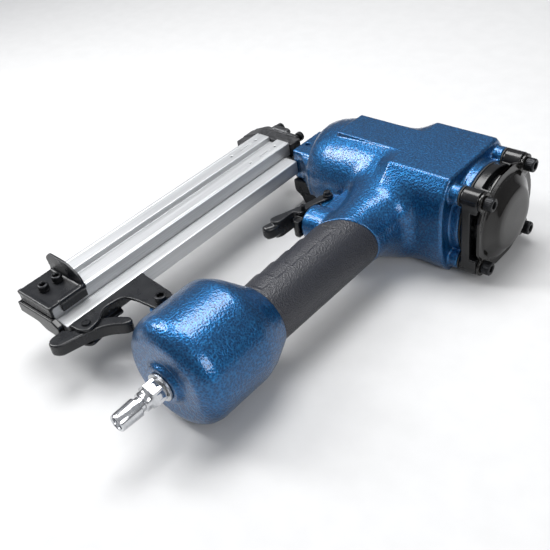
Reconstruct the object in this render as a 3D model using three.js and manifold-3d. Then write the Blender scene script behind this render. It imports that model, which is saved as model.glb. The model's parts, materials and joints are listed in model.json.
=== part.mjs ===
// Pneumatic flooring nailer, lying on its side. Millimetres, +Z up.
// +X runs from the nose to the cylinder cap, -Y from the drive axis to the air plug.
// All shapes are written about the tool's mid-plane (z = 0 there); the group that holds
// them is raised by HALF_THICKNESS, so the tool rests on z = 0 with the origin straight
// under the drive axis.

import * as THREE from 'three';
import { mergeVertices } from 'three/addons/utils/BufferGeometryUtils.js';
import Module from 'manifold-3d';

const wasm = await Module();
wasm.setup();

// ---------------------------------------------------------------- driving dimensions
const HALF_THICKNESS = 36.5;   // body and tank reach this far from the mid-plane
const GAP = 0.3;               // clearance between pieces that touch

const BODY_HALF_WIDTH = 41;    // body casting across the drive axis
const BODY_FRONT = -97;        // front face of the barrel
const BODY_REAR = 26;          // rear end of the square section
const PLATFORM_HALF = 14.5;    // half width of the flat strip along the barrel
const FLANGE_REAR = 33;        // rear face of the cap flange

const CAVITY_RADIUS = 29.5;    // air chamber round the cylinder sleeve
const SLEEVE_BORE = 22.5;      // radius the piston runs in
const SLEEVE_RADIUS = 25;
const SLEEVE_FRONT = -50;
const SLEEVE_REAR = 25;
const BUMPER_FRONT = -72;
const PISTON_FRONT = 10.5;
const PISTON_LENGTH = 14;
const DRIVER_TIP = -117;       // blade tip at rest, just behind the first cleat
const DRIVER_HALF = 3.2;        // half the width of the blade
const DRIVER_SLOT_HALF = 3.6;   // half the width of the slots it runs in

const CAP_SCREW_Y = 26.4;      // cap screw pattern about the drive axis
const CAP_SCREW_Z = 25;
const LUG_RADIUS = 7;
const CAP_SCREW_HOLE = 3.2;
const GASKET = 0.8;
const HEAD_FLOOR = 5.5;        // thickness of the head in front of the exhaust space
const HEAD_REAR = 46.5;        // rear face of the cylinder head
const CAP_FRONT = 46.8;
const CAP_REAR = 49;
const SCREW_SEAT = 49.3;
const SCREW_FACE = 55;

const HANDLE_X = -22.5;        // handle and grip axis, parallel to Y
const HANDLE_RADIUS = 17.5;
const GRIP_RADIUS = 20.6;
const HANDLE_PASSAGE = 13;
const HANDLE_END = -178;
const GRIP_TOP = -81;          // where the slanted grip rim crosses the handle axis
const GRIP_SLANT = 0.55;       // rise of the rim per millimetre of X
const GRIP_BOTTOM = -163.2;

const TANK_X = -30;            // tank and air plug axis, parallel to Y
const TANK_RADIUS = 36.4;
const TANK_WALL = 3.2;
const TANK_FRONT = -163.5;
const TANK_SHOULDER = -182;
const TANK_END = -233;
const TANK_BOSS_END = -236.5;
const PLUG_HEX_AF = 14;        // air plug hexagon across flats
const PLUG_END = -269.6;

const VALVE_Y = -70;           // trigger valve axis, parallel to X
const TRIGGER_PIVOT = { x: -61, y: -47.5 };
const TRIGGER_HALF = 6.6;
const EAR_HALF = 4.5;          // pivot ear inside the trigger's cheeks
const STRIKER = { x: -65, y: -69.5, radius: 1.5 }; // pin in the trigger that pushes the valve

const MAG_LEFT = -160;         // magazine edge at the work side
const MAG_TOP = 11.5;
const MAG_COVER_BOTTOM = -2.5;
const MAG_COVER_RIGHT = -127.3;
const RIB_1_RIGHT = -147.5;
const RIB_2_LEFT = -139.5;
const TRACK_LEFT = -126.9;
const TRACK_RIGHT = -114.3;
const TRACK_TOP = 3.1;
const TRACK_BOTTOM = -8.1;
const MAG_COVER_FRONT = -10.3;
const TRACK_FRONT_Y = -17.6;
const MAG_END_Y = -237.6;
const CHANNEL_LEFT = -148;     // pusher channel inside the cover
const CHANNEL_RIGHT = -132;
const CLEAT_SLOT = 0.85;       // half the slot that the cleat strip slides in
const CLEAT_TIP = -157;
const CLEAT_HEAD = -119;
const GROOVE_FLOOR = 7.2;
const TAIL_SCREW_X = -143.5;
const TAIL_SCREW_YS = [-229.5, -218.9];

const NOSE_TIP = -177;
const NOSE_REAR = -125.6;

const LEVER_PIVOT = { x: -106.5, y: -229 };
const HANGER_TOP = 3.4;
const HANGER_SHEET = 2;
const HANGER_SCREW = { x: -81, y: -188.5 };

// ---------------------------------------------------------------- shape helpers
function solid(geometry) {
  const plain = geometry.clone();
  plain.deleteAttribute('normal');
  plain.deleteAttribute('uv');
  const merged = mergeVertices(plain, 1e-4);
  const index = Array.from(merged.index.array);
  const kept = [];
  for (let i = 0; i < index.length; i += 3) {
    const [a, b, c] = index.slice(i, i + 3);
    if (a !== b && b !== c && c !== a) kept.push(a, b, c);
  }
  return new wasm.Manifold(new wasm.Mesh({
    numProp: 3,
    vertProperties: new Float32Array(merged.attributes.position.array),
    triVerts: new Uint32Array(kept),
  }));
}

function geometryOf(manifold) {
  const mesh = manifold.getMesh();
  const geometry = new THREE.BufferGeometry();
  geometry.setAttribute('position', new THREE.BufferAttribute(mesh.vertProperties, 3));
  geometry.setIndex(new THREE.BufferAttribute(mesh.triVerts, 1));
  return geometry;
}

function join(...geometries) {
  return geometryOf(geometries.map(solid).reduce((sum, next) => sum.add(next)));
}

function cut(geometry, ...tools) {
  return geometryOf(tools.map(solid).reduce((rest, tool) => rest.subtract(tool), solid(geometry)));
}

function keepInside(geometry, tool) {
  return geometryOf(solid(geometry).intersect(solid(tool)));
}

// A box given by its lowest and highest corners.
function block([x0, y0, z0], [x1, y1, z1]) {
  const box = new THREE.BoxGeometry(x1 - x0, y1 - y0, z1 - z0);
  return box.translate((x0 + x1) / 2, (y0 + y1) / 2, (z0 + z1) / 2);
}

// Turns a shape drawn about +Z so that its axis points along X, Y or Z.
function aim(geometry, axis) {
  if (axis === 'x') return geometry.rotateY(Math.PI / 2);
  if (axis === 'y') return geometry.rotateX(-Math.PI / 2);
  return geometry;
}

// A round bar from one end to the other along an axis; centre gives the other two
// coordinates in X, Y, Z order.
function bar(axis, from, to, radius, centre = [0, 0], sides = 32) {
  const rod = new THREE.CylinderGeometry(radius, radius, to - from, sides);
  rod.rotateX(Math.PI / 2);
  rod.translate(0, 0, (from + to) / 2);
  return place(aim(rod, axis), axis, centre);
}

function place(geometry, axis, [a, b]) {
  if (axis === 'x') return geometry.translate(0, a, b);
  if (axis === 'y') return geometry.translate(a, 0, b);
  return geometry.translate(a, b, 0);
}

// A body of revolution. The profile lists [distance along the axis, radius].
function turned(axis, profile, centre = [0, 0], sides = 40) {
  const points = profile.map(([along, radius]) => new THREE.Vector2(radius, along));
  if (profile[0][1] !== 0) points.push(points[0].clone());
  let lathe = new THREE.LatheGeometry(points, sides);
  lathe.rotateX(Math.PI / 2);
  lathe = aim(lathe, axis);
  return facingOut(place(lathe, axis, centre));
}

// A ring: a tube with square ends.
function ring(axis, from, to, outer, inner, centre = [0, 0], sides = 32) {
  return turned(axis, [[from, inner], [from, outer], [to, outer], [to, inner]], centre, sides);
}

function signedVolume(geometry) {
  const flat = geometry.index ? geometry.toNonIndexed() : geometry;
  const p = flat.attributes.position;
  const [a, b, c] = [new THREE.Vector3(), new THREE.Vector3(), new THREE.Vector3()];
  let sum = 0;
  for (let i = 0; i < p.count; i += 3) {
    a.fromBufferAttribute(p, i);
    b.fromBufferAttribute(p, i + 1);
    c.fromBufferAttribute(p, i + 2);
    sum += a.dot(b.cross(c));
  }
  return sum / 6;
}

function facingOut(geometry) {
  if (signedVolume(geometry) > 0) return geometry;
  const index = geometry.index.array;
  for (let i = 0; i < index.length; i += 3) {
    [index[i], index[i + 1]] = [index[i + 1], index[i]];
  }
  return geometry;
}

// A plate: an outline drawn in XY, XZ or YZ and given thickness along the third axis.
function plate(plane, outline, from, to, bevel = 0, holes = []) {
  const shape = outline instanceof THREE.Shape ? outline : polygon(outline);
  shape.holes.push(...holes);
  const slab = new THREE.ExtrudeGeometry(shape, {
    depth: to - from - 2 * bevel,
    bevelEnabled: bevel > 0,
    bevelSize: bevel,
    bevelThickness: bevel,
    bevelOffset: -bevel,
    bevelSegments: 2,
    curveSegments: 8,
  });
  slab.translate(0, 0, from + bevel);
  if (plane === 'yz') {
    slab.applyMatrix4(new THREE.Matrix4().set(0, 0, 1, 0, 1, 0, 0, 0, 0, 1, 0, 0, 0, 0, 0, 1));
  }
  if (plane === 'xz') {
    slab.applyMatrix4(new THREE.Matrix4().set(1, 0, 0, 0, 0, 0, 1, 0, 0, 1, 0, 0, 0, 0, 0, 1));
    const position = slab.attributes.position.array;
    for (let i = 0; i < position.length; i += 9) {
      for (let k = 0; k < 3; k += 1) {
        [position[i + k], position[i + 3 + k]] = [position[i + 3 + k], position[i + k]];
      }
    }
  }
  return slab;
}

function polygon(points) {
  const shape = new THREE.Shape();
  shape.moveTo(...points[0]);
  points.slice(1).forEach((point) => shape.lineTo(...point));
  shape.closePath();
  return shape;
}

// An outline with rounded corners: each entry is [u, v, corner radius]. A radius is held
// under half of the shorter side beside it.
function rounded(points) {
  const shape = new THREE.Shape();
  points.forEach(([u, v, wanted = 0], i) => {
    const corner = new THREE.Vector2(u, v);
    const before = new THREE.Vector2(...points.at(i - 1).slice(0, 2)).sub(corner);
    const after = new THREE.Vector2(...points[(i + 1) % points.length].slice(0, 2)).sub(corner);
    const radius = Math.min(wanted, 0.45 * before.length(), 0.45 * after.length());
    const start = corner.clone().add(before.setLength(radius));
    const end = corner.clone().add(after.setLength(radius));
    if (i === 0) shape.moveTo(start.x, start.y);
    else shape.lineTo(start.x, start.y);
    if (radius > 0) shape.quadraticCurveTo(corner.x, corner.y, end.x, end.y);
  });
  shape.closePath();
  return shape;
}

// A closed skin through rings of points; every ring has the same number of points.
function loft(rings) {
  const count = rings[0].length;
  const positions = rings.flat().flatMap((p) => [p.x, p.y, p.z]);
  const index = [];
  for (let k = 0; k < rings.length - 1; k += 1) {
    for (let i = 0; i < count; i += 1) {
      const j = (i + 1) % count;
      const [a, b] = [k * count + i, k * count + j];
      const [c, d] = [a + count, b + count];
      index.push(a, b, d, a, d, c);
    }
  }
  [rings[0], rings.at(-1)].forEach((ring, end) => {
    const middle = ring.reduce((sum, p) => sum.add(p), new THREE.Vector3()).divideScalar(count);
    positions.push(middle.x, middle.y, middle.z);
    const hub = positions.length / 3 - 1;
    const first = end === 0 ? 0 : (rings.length - 1) * count;
    for (let i = 0; i < count; i += 1) {
      const j = (i + 1) % count;
      if (end === 0) index.push(hub, first + j, first + i);
      else index.push(hub, first + i, first + j);
    }
  });
  const geometry = new THREE.BufferGeometry();
  geometry.setAttribute('position', new THREE.Float32BufferAttribute(positions, 3));
  geometry.setIndex(index);
  return facingOut(geometry);
}

// Points of a superellipse |u/a|^n + |v/b|^n = 1 at a given angle.
function superellipse(angle, a, b, n) {
  const c = Math.cos(angle);
  const s = Math.sin(angle);
  const scale = (Math.abs(c / a) ** n + Math.abs(s / b) ** n) ** (-1 / n);
  return [c * scale, s * scale];
}

// A compression spring: a round wire wound about an axis.
function spring(axis, from, to, radius, wire, turns, centre = [0, 0]) {
  class Helix extends THREE.Curve {
    getPoint(t, target = new THREE.Vector3()) {
      const angle = 2 * Math.PI * turns * t;
      const along = from + wire + (to - from - 2 * wire) * t;
      return target.set(radius * Math.cos(angle), radius * Math.sin(angle), along);
    }
  }
  const section = new THREE.Shape();
  section.absarc(0, 0, wire, 0, Math.PI * 2);
  const coil = new THREE.ExtrudeGeometry(section, {
    steps: Math.round(turns * 10),
    curveSegments: 2,
    extrudePath: new Helix(),
  });
  return place(aim(coil, axis), axis, centre);
}

// A socket-head cap screw along an axis. The head's seat is at seat, the head runs to
// face and the shank the other way to tip.
function capScrew(axis, tip, seat, face, headRadius, centre) {
  const way = Math.sign(face - seat);
  const ends = (a, b) => [Math.min(a, b), Math.max(a, b)];
  const head = turned(axis, [
    [seat, 0], [seat, headRadius], [face - way * 0.6, headRadius],
    [face, headRadius - 0.6], [face, 0],
  ], centre, 20);
  const shank = bar(axis, ...ends(tip, seat + way * 0.5), headRadius * 0.56, centre, 16);
  const socketDepth = Math.abs(face - seat) * 0.55;
  const socket = bar(axis, ...ends(face - way * socketDepth, face + way), headRadius * 0.55, centre, 6);
  return cut(join(head, shank), socket);
}

// ---------------------------------------------------------------- materials
const paint = (color, roughness, metalness) => ({ color, roughness, metalness });
const FINISH = {
  bluePaint: paint(0x2f6fae, 0.35, 0.3),
  blackPaint: paint(0x1d1e20, 0.35, 0.3),
  blackOxide: paint(0x26282b, 0.5, 0.6),
  rubber: paint(0x3a3c42, 0.85, 0.0),
  aluminium: paint(0xb6b9bd, 0.35, 0.9),
  steel: paint(0x8f9296, 0.35, 1.0),
  darkSteel: paint(0x3c3e40, 0.45, 0.8),
  chrome: paint(0xd2d3d6, 0.15, 1.0),
  seal: paint(0x202020, 0.7, 0.0),
  polymer: paint(0x8a4a2a, 0.6, 0.0),
};

const nailer = new THREE.Group();
nailer.name = 'flooring_nailer';
const tool = new THREE.Group();
tool.position.z = HALF_THICKNESS;
nailer.add(tool);

function add(name, geometry, finish) {
  const mesh = new THREE.Mesh(geometry, new THREE.MeshStandardMaterial(FINISH[finish]));
  mesh.name = name;
  tool.add(mesh);
}

// ---------------------------------------------------------------- body casting
// Sections of the barrel from the front dome to the square rear end. Each is a
// superellipse cut flat where it would pass the resting plane.
const SIDE_STEPS = 15;
const FLAT_STEPS = 3;

function bodySection(x, halfWidth, halfHeight, power) {
  const flat = Math.min(HALF_THICKNESS, halfHeight * 0.985);
  const flatHalf = halfWidth * (1 - (flat / halfHeight) ** power) ** (1 / power);
  const corner = Math.atan2(flat, flatHalf);
  const side = [];
  for (let i = 0; i <= SIDE_STEPS; i += 1) {
    const angle = -corner + (2 * corner * i) / SIDE_STEPS;
    side.push(superellipse(angle, halfWidth, halfHeight, power));
  }
  const right = side.map(([y, z]) => new THREE.Vector3(x, y, z));
  const left = side.map(([y, z]) => new THREE.Vector3(x, -y, -z));
  const top = [];
  const bottom = [];
  for (let i = 1; i < FLAT_STEPS; i += 1) {
    const y = flatHalf - (2 * flatHalf * i) / FLAT_STEPS;
    top.push(new THREE.Vector3(x, y, flat));
    bottom.push(new THREE.Vector3(x, -y, -flat));
  }
  return [...right, ...top, ...left, ...bottom];
}

function bodyShell() {
  return loft([
    bodySection(BODY_FRONT, 28, 28, 2),
    bodySection(-93, 31, 31, 2),
    bodySection(-87, 33.6, 33.6, 2),
    bodySection(-79, 35.6, 35.6, 2),
    bodySection(-68, 37, 37, 2),
    bodySection(-52, 38, 38, 2),
    bodySection(-38, 38.6, 38.6, 2.1),
    bodySection(-31, 39.4, 39.2, 2.5),
    bodySection(-25, 40.4, 39.6, 3.2),
    bodySection(-19, BODY_HALF_WIDTH, 39.8, 3.8),
    bodySection(23, BODY_HALF_WIDTH, 39.8, 3.8),
    bodySection(BODY_REAR, 37, 37.5, 3.8),
  ]);
}

// The handle grows out of the near side of the body and tapers to the round grip seat.
// Each station lists y, half width, height above and below the mid-plane, and squareness.
function handleRoot() {
  const stations = [
    [-24, 28, 26, 36, 3.2], [-38, 26.5, 25, 36, 2.8], [-44, 25, 24, 32.5, 2.5],
    [-52, 23, 22.6, 27, 2.2], [-60, 21.4, 21.3, 22.6, 2], [-70, 20.6, 20.6, 20.6, 2],
    [-110, 20.6, 20.6, 20.6, 2],
  ];
  const sides = 36;
  return loft(stations.map(([y, width, above, below, power]) => {
    const points = [];
    for (let i = 0; i < sides; i += 1) {
      const angle = (2 * Math.PI * i) / sides;
      const height = angle < Math.PI ? above : below;
      const [u, v] = superellipse(angle, width, height, power);
      points.push(new THREE.Vector3(HANDLE_X + u, y, v));
    }
    return points;
  }));
}

// Everything on the tank side of the slanted grip rim.
function belowGripRim(shift) {
  const half = 200;
  const top = (x) => GRIP_TOP + shift + GRIP_SLANT * (x - HANDLE_X);
  return plate('xy', [
    [-half, -400], [half, -400], [half, top(half)], [-half, top(-half)],
  ], -60, 60);
}

// One round bar at each cap screw.
function atCapScrews(from, to, radius, sides = 20) {
  const bars = [];
  for (const sy of [-1, 1]) {
    for (const sz of [-1, 1]) {
      bars.push(bar('x', from, to, radius, [sy * CAP_SCREW_Y, sz * CAP_SCREW_Z], sides));
    }
  }
  return bars;
}

function capScrewHoles(from, to) {
  return atCapScrews(from, to, CAP_SCREW_HOLE, 10);
}

function bodyCasting() {
  const flange = join(
    bar('x', BODY_REAR - 2, FLANGE_REAR, 32.2, [0, 0], 40),
    ...atCapScrews(BODY_REAR - 2, FLANGE_REAR, LUG_RADIUS),
  );
  const neckBlock = plate('yz', rounded([
    [-17, -13.5, 2.5], [17, -13.5, 2.5], [17, 11, 2.5], [-17, 11, 2.5],
  ]), NOSE_REAR + GAP, BODY_FRONT + 4);
  const gusset = plate('xy', [[-117, -10], [-92, -10], [-92, -31], [-110, -17]], -13, 8);
  const platform = block([-74, -PLATFORM_HALF, -HALF_THICKNESS], [-20, PLATFORM_HALF, HALF_THICKNESS]);
  const pivotEar = plate('xy', rounded([
    [-64.6, -41, 3], [-40, -36, 2], [-40, -62, 2], [-56, -60, 3], [-64.6, -52, 3],
  ]), -EAR_HALF, EAR_HALF);
  const valveBoss = turned('x', [
    [-58, 0], [-58, 10], [-55, 12], [-30, 12], [-30, 0],
  ], [VALVE_Y, 0], 32);
  const tube = bar('y', HANDLE_END, -90, HANDLE_RADIUS, [HANDLE_X, 0], 32);
  const root = cut(handleRoot(), belowGripRim(0));
  const outside = join(
    bodyShell(), platform, flange, neckBlock, gusset, root, tube, pivotEar, valveBoss,
  );
  return cut(
    outside,
    bar('x', SLEEVE_FRONT, FLANGE_REAR + 1, CAVITY_RADIUS, [0, 0], 40),
    bar('x', BUMPER_FRONT - GAP, SLEEVE_FRONT + 1, SLEEVE_RADIUS + GAP, [0, 0], 40),
    block([NOSE_REAR - 1, -1.2, -DRIVER_SLOT_HALF], [BUMPER_FRONT, 1.2, DRIVER_SLOT_HALF]),
    bar('y', HANDLE_END - 1, -24, HANDLE_PASSAGE, [HANDLE_X, 0], 32),
    bar('x', -59, -34, 7.9, [VALVE_Y, 0], 24),
    bar('z', -20, 20, 2.3, [TRIGGER_PIVOT.x, TRIGGER_PIVOT.y], 16),
    ...capScrewHoles(12, FLANGE_REAR + 1),
  );
}

add('body_casting', bodyCasting(), 'bluePaint');

// ---------------------------------------------------------------- cap end
function headOutline(from, to) {
  return join(bar('x', from, to, 32, [0, 0], 40), ...atCapScrews(from, to, LUG_RADIUS));
}

// The wall that joins the two pillars on the handle side.
function handleSideWall(from, to, outer) {
  return block([from, -outer, -CAP_SCREW_Z], [to, -20, CAP_SCREW_Z]);
}

function headGasket() {
  const from = FLANGE_REAR + GAP;
  return cut(
    headOutline(from, from + GASKET),
    bar('x', 30, 40, CAVITY_RADIUS, [0, 0], 32),
    ...capScrewHoles(30, 40),
  );
}

// The head is a cup with four screw pillars. Exhaust windows open between the pillars,
// and a narrow slot runs down the handle side just in front of the cover.
function cylinderHead() {
  const front = FLANGE_REAR + 2 * GAP + GASKET;
  const floor = front + HEAD_FLOOR;
  const windows = [
    block([floor + 1, -16, 14], [HEAD_REAR + 1, 16, 44]),
    block([floor + 1, -16, -44], [HEAD_REAR + 1, 16, -14]),
    block([floor + 1, 14, -14], [HEAD_REAR + 1, 44, 14]),
    block([HEAD_REAR - 4.5, -44, -18], [HEAD_REAR + 1, -14, 18]),
  ];
  return cut(
    join(headOutline(front, HEAD_REAR), handleSideWall(floor, HEAD_REAR, 33.2)),
    bar('x', floor, HEAD_REAR + 1, 27.5, [0, 0], 32),
    bar('x', front - 1, floor - 2, 24.6, [0, 0], 32),
    bar('x', floor - 3, floor + 1, 9, [0, 0], 20),
    ...windows,
    ...capScrewHoles(front - 1, HEAD_REAR + 1),
  );
}

// A slotted drum that spreads the exhaust air inside the head.
function exhaustDrum() {
  const from = FLANGE_REAR + 3 * GAP + GASKET + HEAD_FLOOR;
  const slots = [];
  for (let i = 0; i < 12; i += 1) {
    const slot = block([from + 2, 18, -2.4], [CAP_FRONT - 2, 30, 2.4]);
    slots.push(slot.rotateX((2 * Math.PI * (i + 0.5)) / 12));
  }
  return cut(ring('x', from, CAP_FRONT - GAP, 27, 24.5, [0, 0], 32), ...slots);
}

// Trims the round cover flush with the head's wall on the handle side.
function handleSideTrim() {
  return block([CAP_FRONT - 1, -50, -CAP_SCREW_Z], [CAP_REAR + 1, -33.2, CAP_SCREW_Z]);
}

// The cover plate with its raised dome, hollow behind.
function exhaustCover() {
  const sheet = join(
    bar('x', CAP_FRONT, CAP_REAR, 35.2, [0, 0], 44),
    ...atCapScrews(CAP_FRONT, CAP_REAR, LUG_RADIUS - 0.3),
  );
  const dome = turned('x', [
    [CAP_REAR - 0.5, 0], [CAP_REAR - 0.5, 30], [CAP_REAR + 1.2, 29], [CAP_REAR + 4.6, 23],
    [CAP_REAR + 6.6, 20.5], [CAP_REAR + 7.4, 17.5], [CAP_REAR + 7.4, 0],
  ], [0, 0], 36);
  const inside = turned('x', [
    [CAP_FRONT - 1, 0], [CAP_FRONT - 1, 27.5], [CAP_REAR + 2.4, 22.4],
    [CAP_REAR + 4.8, 18.5], [CAP_REAR + 5.2, 0],
  ], [0, 0], 28);
  const notches = [];
  for (const sy of [-1, 1]) {
    for (const sz of [-1, 1]) {
      const centre = [sy * CAP_SCREW_Y, sz * CAP_SCREW_Z];
      notches.push(bar('x', CAP_REAR, SCREW_FACE + 3, LUG_RADIUS - 0.6, centre, 16));
    }
  }
  const skin = join(cut(sheet, handleSideTrim()), cut(dome, ...notches));
  return cut(skin, inside, ...capScrewHoles(CAP_FRONT - 1, CAP_REAR + 1));
}

function headValve() {
  const rear = SLEEVE_REAR + 9;
  return turned('x', [
    [SLEEVE_REAR + GAP, 8], [SLEEVE_REAR + GAP, 28.6], [SLEEVE_REAR + 4, 28.6],
    [SLEEVE_REAR + 4, 24.2], [rear, 24.2], [rear, 21], [SLEEVE_REAR + 5, 21], [SLEEVE_REAR + 5, 8],
  ], [0, 0], 32);
}

add('head_gasket', headGasket(), 'seal');
add('cylinder_head', cylinderHead(), 'blackPaint');
add('exhaust_drum', exhaustDrum(), 'blackPaint');
add('exhaust_cover', exhaustCover(), 'blackPaint');
add('head_valve', headValve(), 'polymer');
add('head_valve_spring', spring('x', SLEEVE_REAR + 5.3, 37.6, 15, 1, 3.5), 'steel');

let capScrewNumber = 0;
for (const sy of [-1, 1]) {
  for (const sz of [1, -1]) {
    capScrewNumber += 1;
    const centre = [sy * CAP_SCREW_Y, sz * CAP_SCREW_Z];
    add(`cap_screw_${capScrewNumber}`, capScrew('x', 14, SCREW_SEAT, SCREW_FACE, 4.6, centre), 'blackOxide');
  }
}

// ---------------------------------------------------------------- drive train
function cylinderSleeve() {
  return turned('x', [
    [SLEEVE_FRONT, SLEEVE_BORE], [SLEEVE_FRONT, SLEEVE_RADIUS], [-12, SLEEVE_RADIUS], [-12, 29.2],
    [-6, 29.2], [-6, SLEEVE_RADIUS], [SLEEVE_REAR, SLEEVE_RADIUS], [SLEEVE_REAR, SLEEVE_BORE],
  ], [0, 0], 32);
}

function piston() {
  const rear = PISTON_FRONT + PISTON_LENGTH;
  const groove = PISTON_LENGTH / 2 + PISTON_FRONT;
  const disc = turned('x', [
    [PISTON_FRONT, 0], [PISTON_FRONT, 22.2], [groove - 2, 22.2], [groove - 2, 19.5],
    [groove + 2, 19.5], [groove + 2, 22.2], [rear, 22.2], [rear, 0],
  ], [0, 0], 32);
  return cut(disc, block([PISTON_FRONT - 1, -1.1, -5.1], [PISTON_FRONT + 6, 1.1, 5.1]));
}

function bumper() {
  return turned('x', [
    [BUMPER_FRONT, 7.5], [BUMPER_FRONT, 24.6], [-60, 24.6], [-57, 20], [-54, 20],
    [SLEEVE_FRONT - GAP, 22], [SLEEVE_FRONT - GAP, 9], [BUMPER_FRONT + 8, 7.5],
  ], [0, 0], 28);
}

add('cylinder_sleeve', cylinderSleeve(), 'aluminium');
add('piston', piston(), 'aluminium');
const ringMiddle = PISTON_FRONT + PISTON_LENGTH / 2;
add('piston_ring', ring('x', ringMiddle - 1.7, ringMiddle + 1.7, 22.2, 19.8, [0, 0], 32), 'seal');
add('driver_blade', block([DRIVER_TIP, -0.6, -DRIVER_HALF], [PISTON_FRONT + 5.5, 0.6, DRIVER_HALF]), 'steel');
add('bumper', bumper(), 'polymer');

// ---------------------------------------------------------------- nose
// Two plates meet on the drive axis; the blade and the cleats run in the slot between.
function noseRearGuide() {
  const outline = rounded([
    [NOSE_TIP, -4, 1], [NOSE_TIP, 4, 1], [MAG_LEFT - 2, 10, 2], [NOSE_REAR, 10, 1],
    [NOSE_REAR, -9.5, 1], [MAG_LEFT - 2, -9.5, 2],
  ]);
  const body = plate('xz', outline, MAG_COVER_FRONT + GAP, 0.9);
  const foot = plate('xz', rounded([
    [NOSE_TIP, -3.5, 1], [NOSE_TIP, 3.5, 1], [MAG_LEFT - 4, 8, 1], [MAG_LEFT - 4, -6, 1],
  ]), -18, MAG_COVER_FRONT + 1);
  return cut(
    join(body, foot),
    block([NOSE_TIP - 1, -1, -DRIVER_SLOT_HALF], [NOSE_REAR + 1, 2, DRIVER_SLOT_HALF]),
    block([CLEAT_TIP - 1, -30, -CLEAT_SLOT], [CLEAT_HEAD, 0, CLEAT_SLOT]),
    bar('y', -30, 5, 2.2, [-154, 7.6], 12),
    bar('y', -30, 5, 2.2, [-131, 7.6], 12),
  );
}

function noseFrontPlate() {
  const outline = rounded([
    [NOSE_TIP + 1, -4, 1], [NOSE_TIP + 1, 4, 1], [-162, 10, 2], [NOSE_REAR - 4, 10, 2],
    [NOSE_REAR - 4, -9.5, 2], [-162, -9.5, 2],
  ]);
  const pad = plate('xz', rounded([
    [-158, -8, 2], [-158, 11, 3], [-141, 11, 3], [-141, -8, 2],
  ]), 3, 8, 0.8);
  return cut(
    join(plate('xz', outline, 1.2, 4.4), pad),
    bar('y', 0, 12, 2.2, [-154, 7.6], 12),
    bar('y', 0, 12, 2.2, [-131, 7.6], 12),
  );
}

// The bracket bolts the nose to the body's neck block on its near side.
function noseBracket() {
  const outline = rounded([
    [-119, -13.8, 1], [-99, -13.8, 1], [-99, -35, 3], [-109, -35, 3], [-113, -27, 3], [-119, -24, 3],
  ]);
  return plate('xz', outline, -19, 12);
}

add('nose_rear_guide', noseRearGuide(), 'darkSteel');
add('nose_front_plate', noseFrontPlate(), 'darkSteel');
add('nose_screw_1', capScrew('y', -9.4, 8.3, 12, 3.6, [-154, 7.6]), 'blackOxide');
add('nose_screw_2', capScrew('y', -9.4, 4.7, 8.4, 3.6, [-131, 7.6]), 'blackOxide');
add('nose_bracket', noseBracket(), 'blackOxide');

// ---------------------------------------------------------------- trigger and valve
// Seen along its pin: a narrow forked arm that widens to a finger pad and ends in a tail.
function trigger() {
  const outline = rounded([
    [-64.4, -43.4, 3.3], [-57.8, -43.4, 3.3], [-58.2, -50, 3.4], [-63, -62, 5],
    [-63.2, -73.2, 1.5], [-69.2, -75.2, 1], [-69.6, -86, 4], [-70.5, -93, 4], [-73.5, -99, 4],
    [-80, -97, 4], [-77.2, -88, 6], [-74.5, -79, 4], [-68.8, -64, 8],
  ]);
  const fork = polygon([[-75, -41], [-40, -41], [-40, -74.5], [-68.4, -74.5], [-66.8, -62]]);
  return cut(
    plate('xy', outline, -TRIGGER_HALF, TRIGGER_HALF),
    plate('xy', fork, -EAR_HALF - GAP, EAR_HALF + GAP),
    bar('z', -20, 20, 2.3, [TRIGGER_PIVOT.x, TRIGGER_PIVOT.y], 12),
    bar('z', -20, 20, STRIKER.radius + GAP, [STRIKER.x, STRIKER.y], 12),
    ...[-1, 1].map((side) => tailTaper(side)),
  );
}

// The tail is narrower than the finger pad.
function tailTaper(side) {
  const near = side * 4.2;
  const far = side * (TRIGGER_HALF + 1);
  const region = polygon([[-90, -110], [-50, -110], [-50, -91], [-72, -89], [-90, -84]]);
  return plate('xy', region, Math.min(near, far), Math.max(near, far));
}

function pinWithHeads(from, to, radius, headRadius, centre) {
  return join(
    bar('z', from - 1, to + 1, radius, centre, 16),
    bar('z', to, to + 1.2, headRadius, centre, 16),
    bar('z', from - 1.2, from, headRadius, centre, 16),
  );
}

function valveBushing() {
  return turned('x', [
    [-60.6, 3.1], [-60.6, 4], [-59.8, 4.6], [-58.3, 4.6], [-58.3, 7.6], [-44, 7.6], [-44, 6],
    [-40, 6], [-40, 3.1],
  ], [VALVE_Y, 0], 24);
}

function valvePlunger() {
  return turned('x', [
    [-63.2, 0], [-63.2, 2], [-62.4, 2.7], [-39.7, 2.7], [-39.7, 5.2], [-37, 5.2], [-37, 0],
  ], [VALVE_Y, 0], 20);
}

add('trigger', trigger(), 'blackOxide');
// The pivot pin stands proud of the arm, with a clip ring under its end.
function pivotPin() {
  const centre = [TRIGGER_PIVOT.x, TRIGGER_PIVOT.y];
  return join(
    pinWithHeads(-TRIGGER_HALF - GAP, TRIGGER_HALF + GAP, 2, 3.3, centre),
    bar('z', TRIGGER_HALF, TRIGGER_HALF + 3.6, 2.4, centre, 16),
  );
}

// A block on the valve boss that the finger pad stops against.
function triggerStop() {
  const outline = rounded([
    [-64.8, -75.9, 1], [-58.3, -75.9, 1], [-58.3, -83.2, 1], [-62.4, -83.2, 2], [-64.8, -81, 1],
  ]);
  return plate('xy', outline, -TRIGGER_HALF, TRIGGER_HALF - 0.6);
}

add('trigger_pin', pivotPin(), 'blackOxide');
add('striker_pin', bar('z', -8.4, 10.4, STRIKER.radius, [STRIKER.x, STRIKER.y], 16), 'blackOxide');
add('trigger_stop', triggerStop(), 'blackPaint');
add('valve_bushing', valveBushing(), 'blackPaint');
add('valve_plunger', valvePlunger(), 'steel');
add('valve_spring', spring('x', -36.7, -29.5, 3.4, 0.5, 4, [VALVE_Y, 0]), 'steel');

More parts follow.
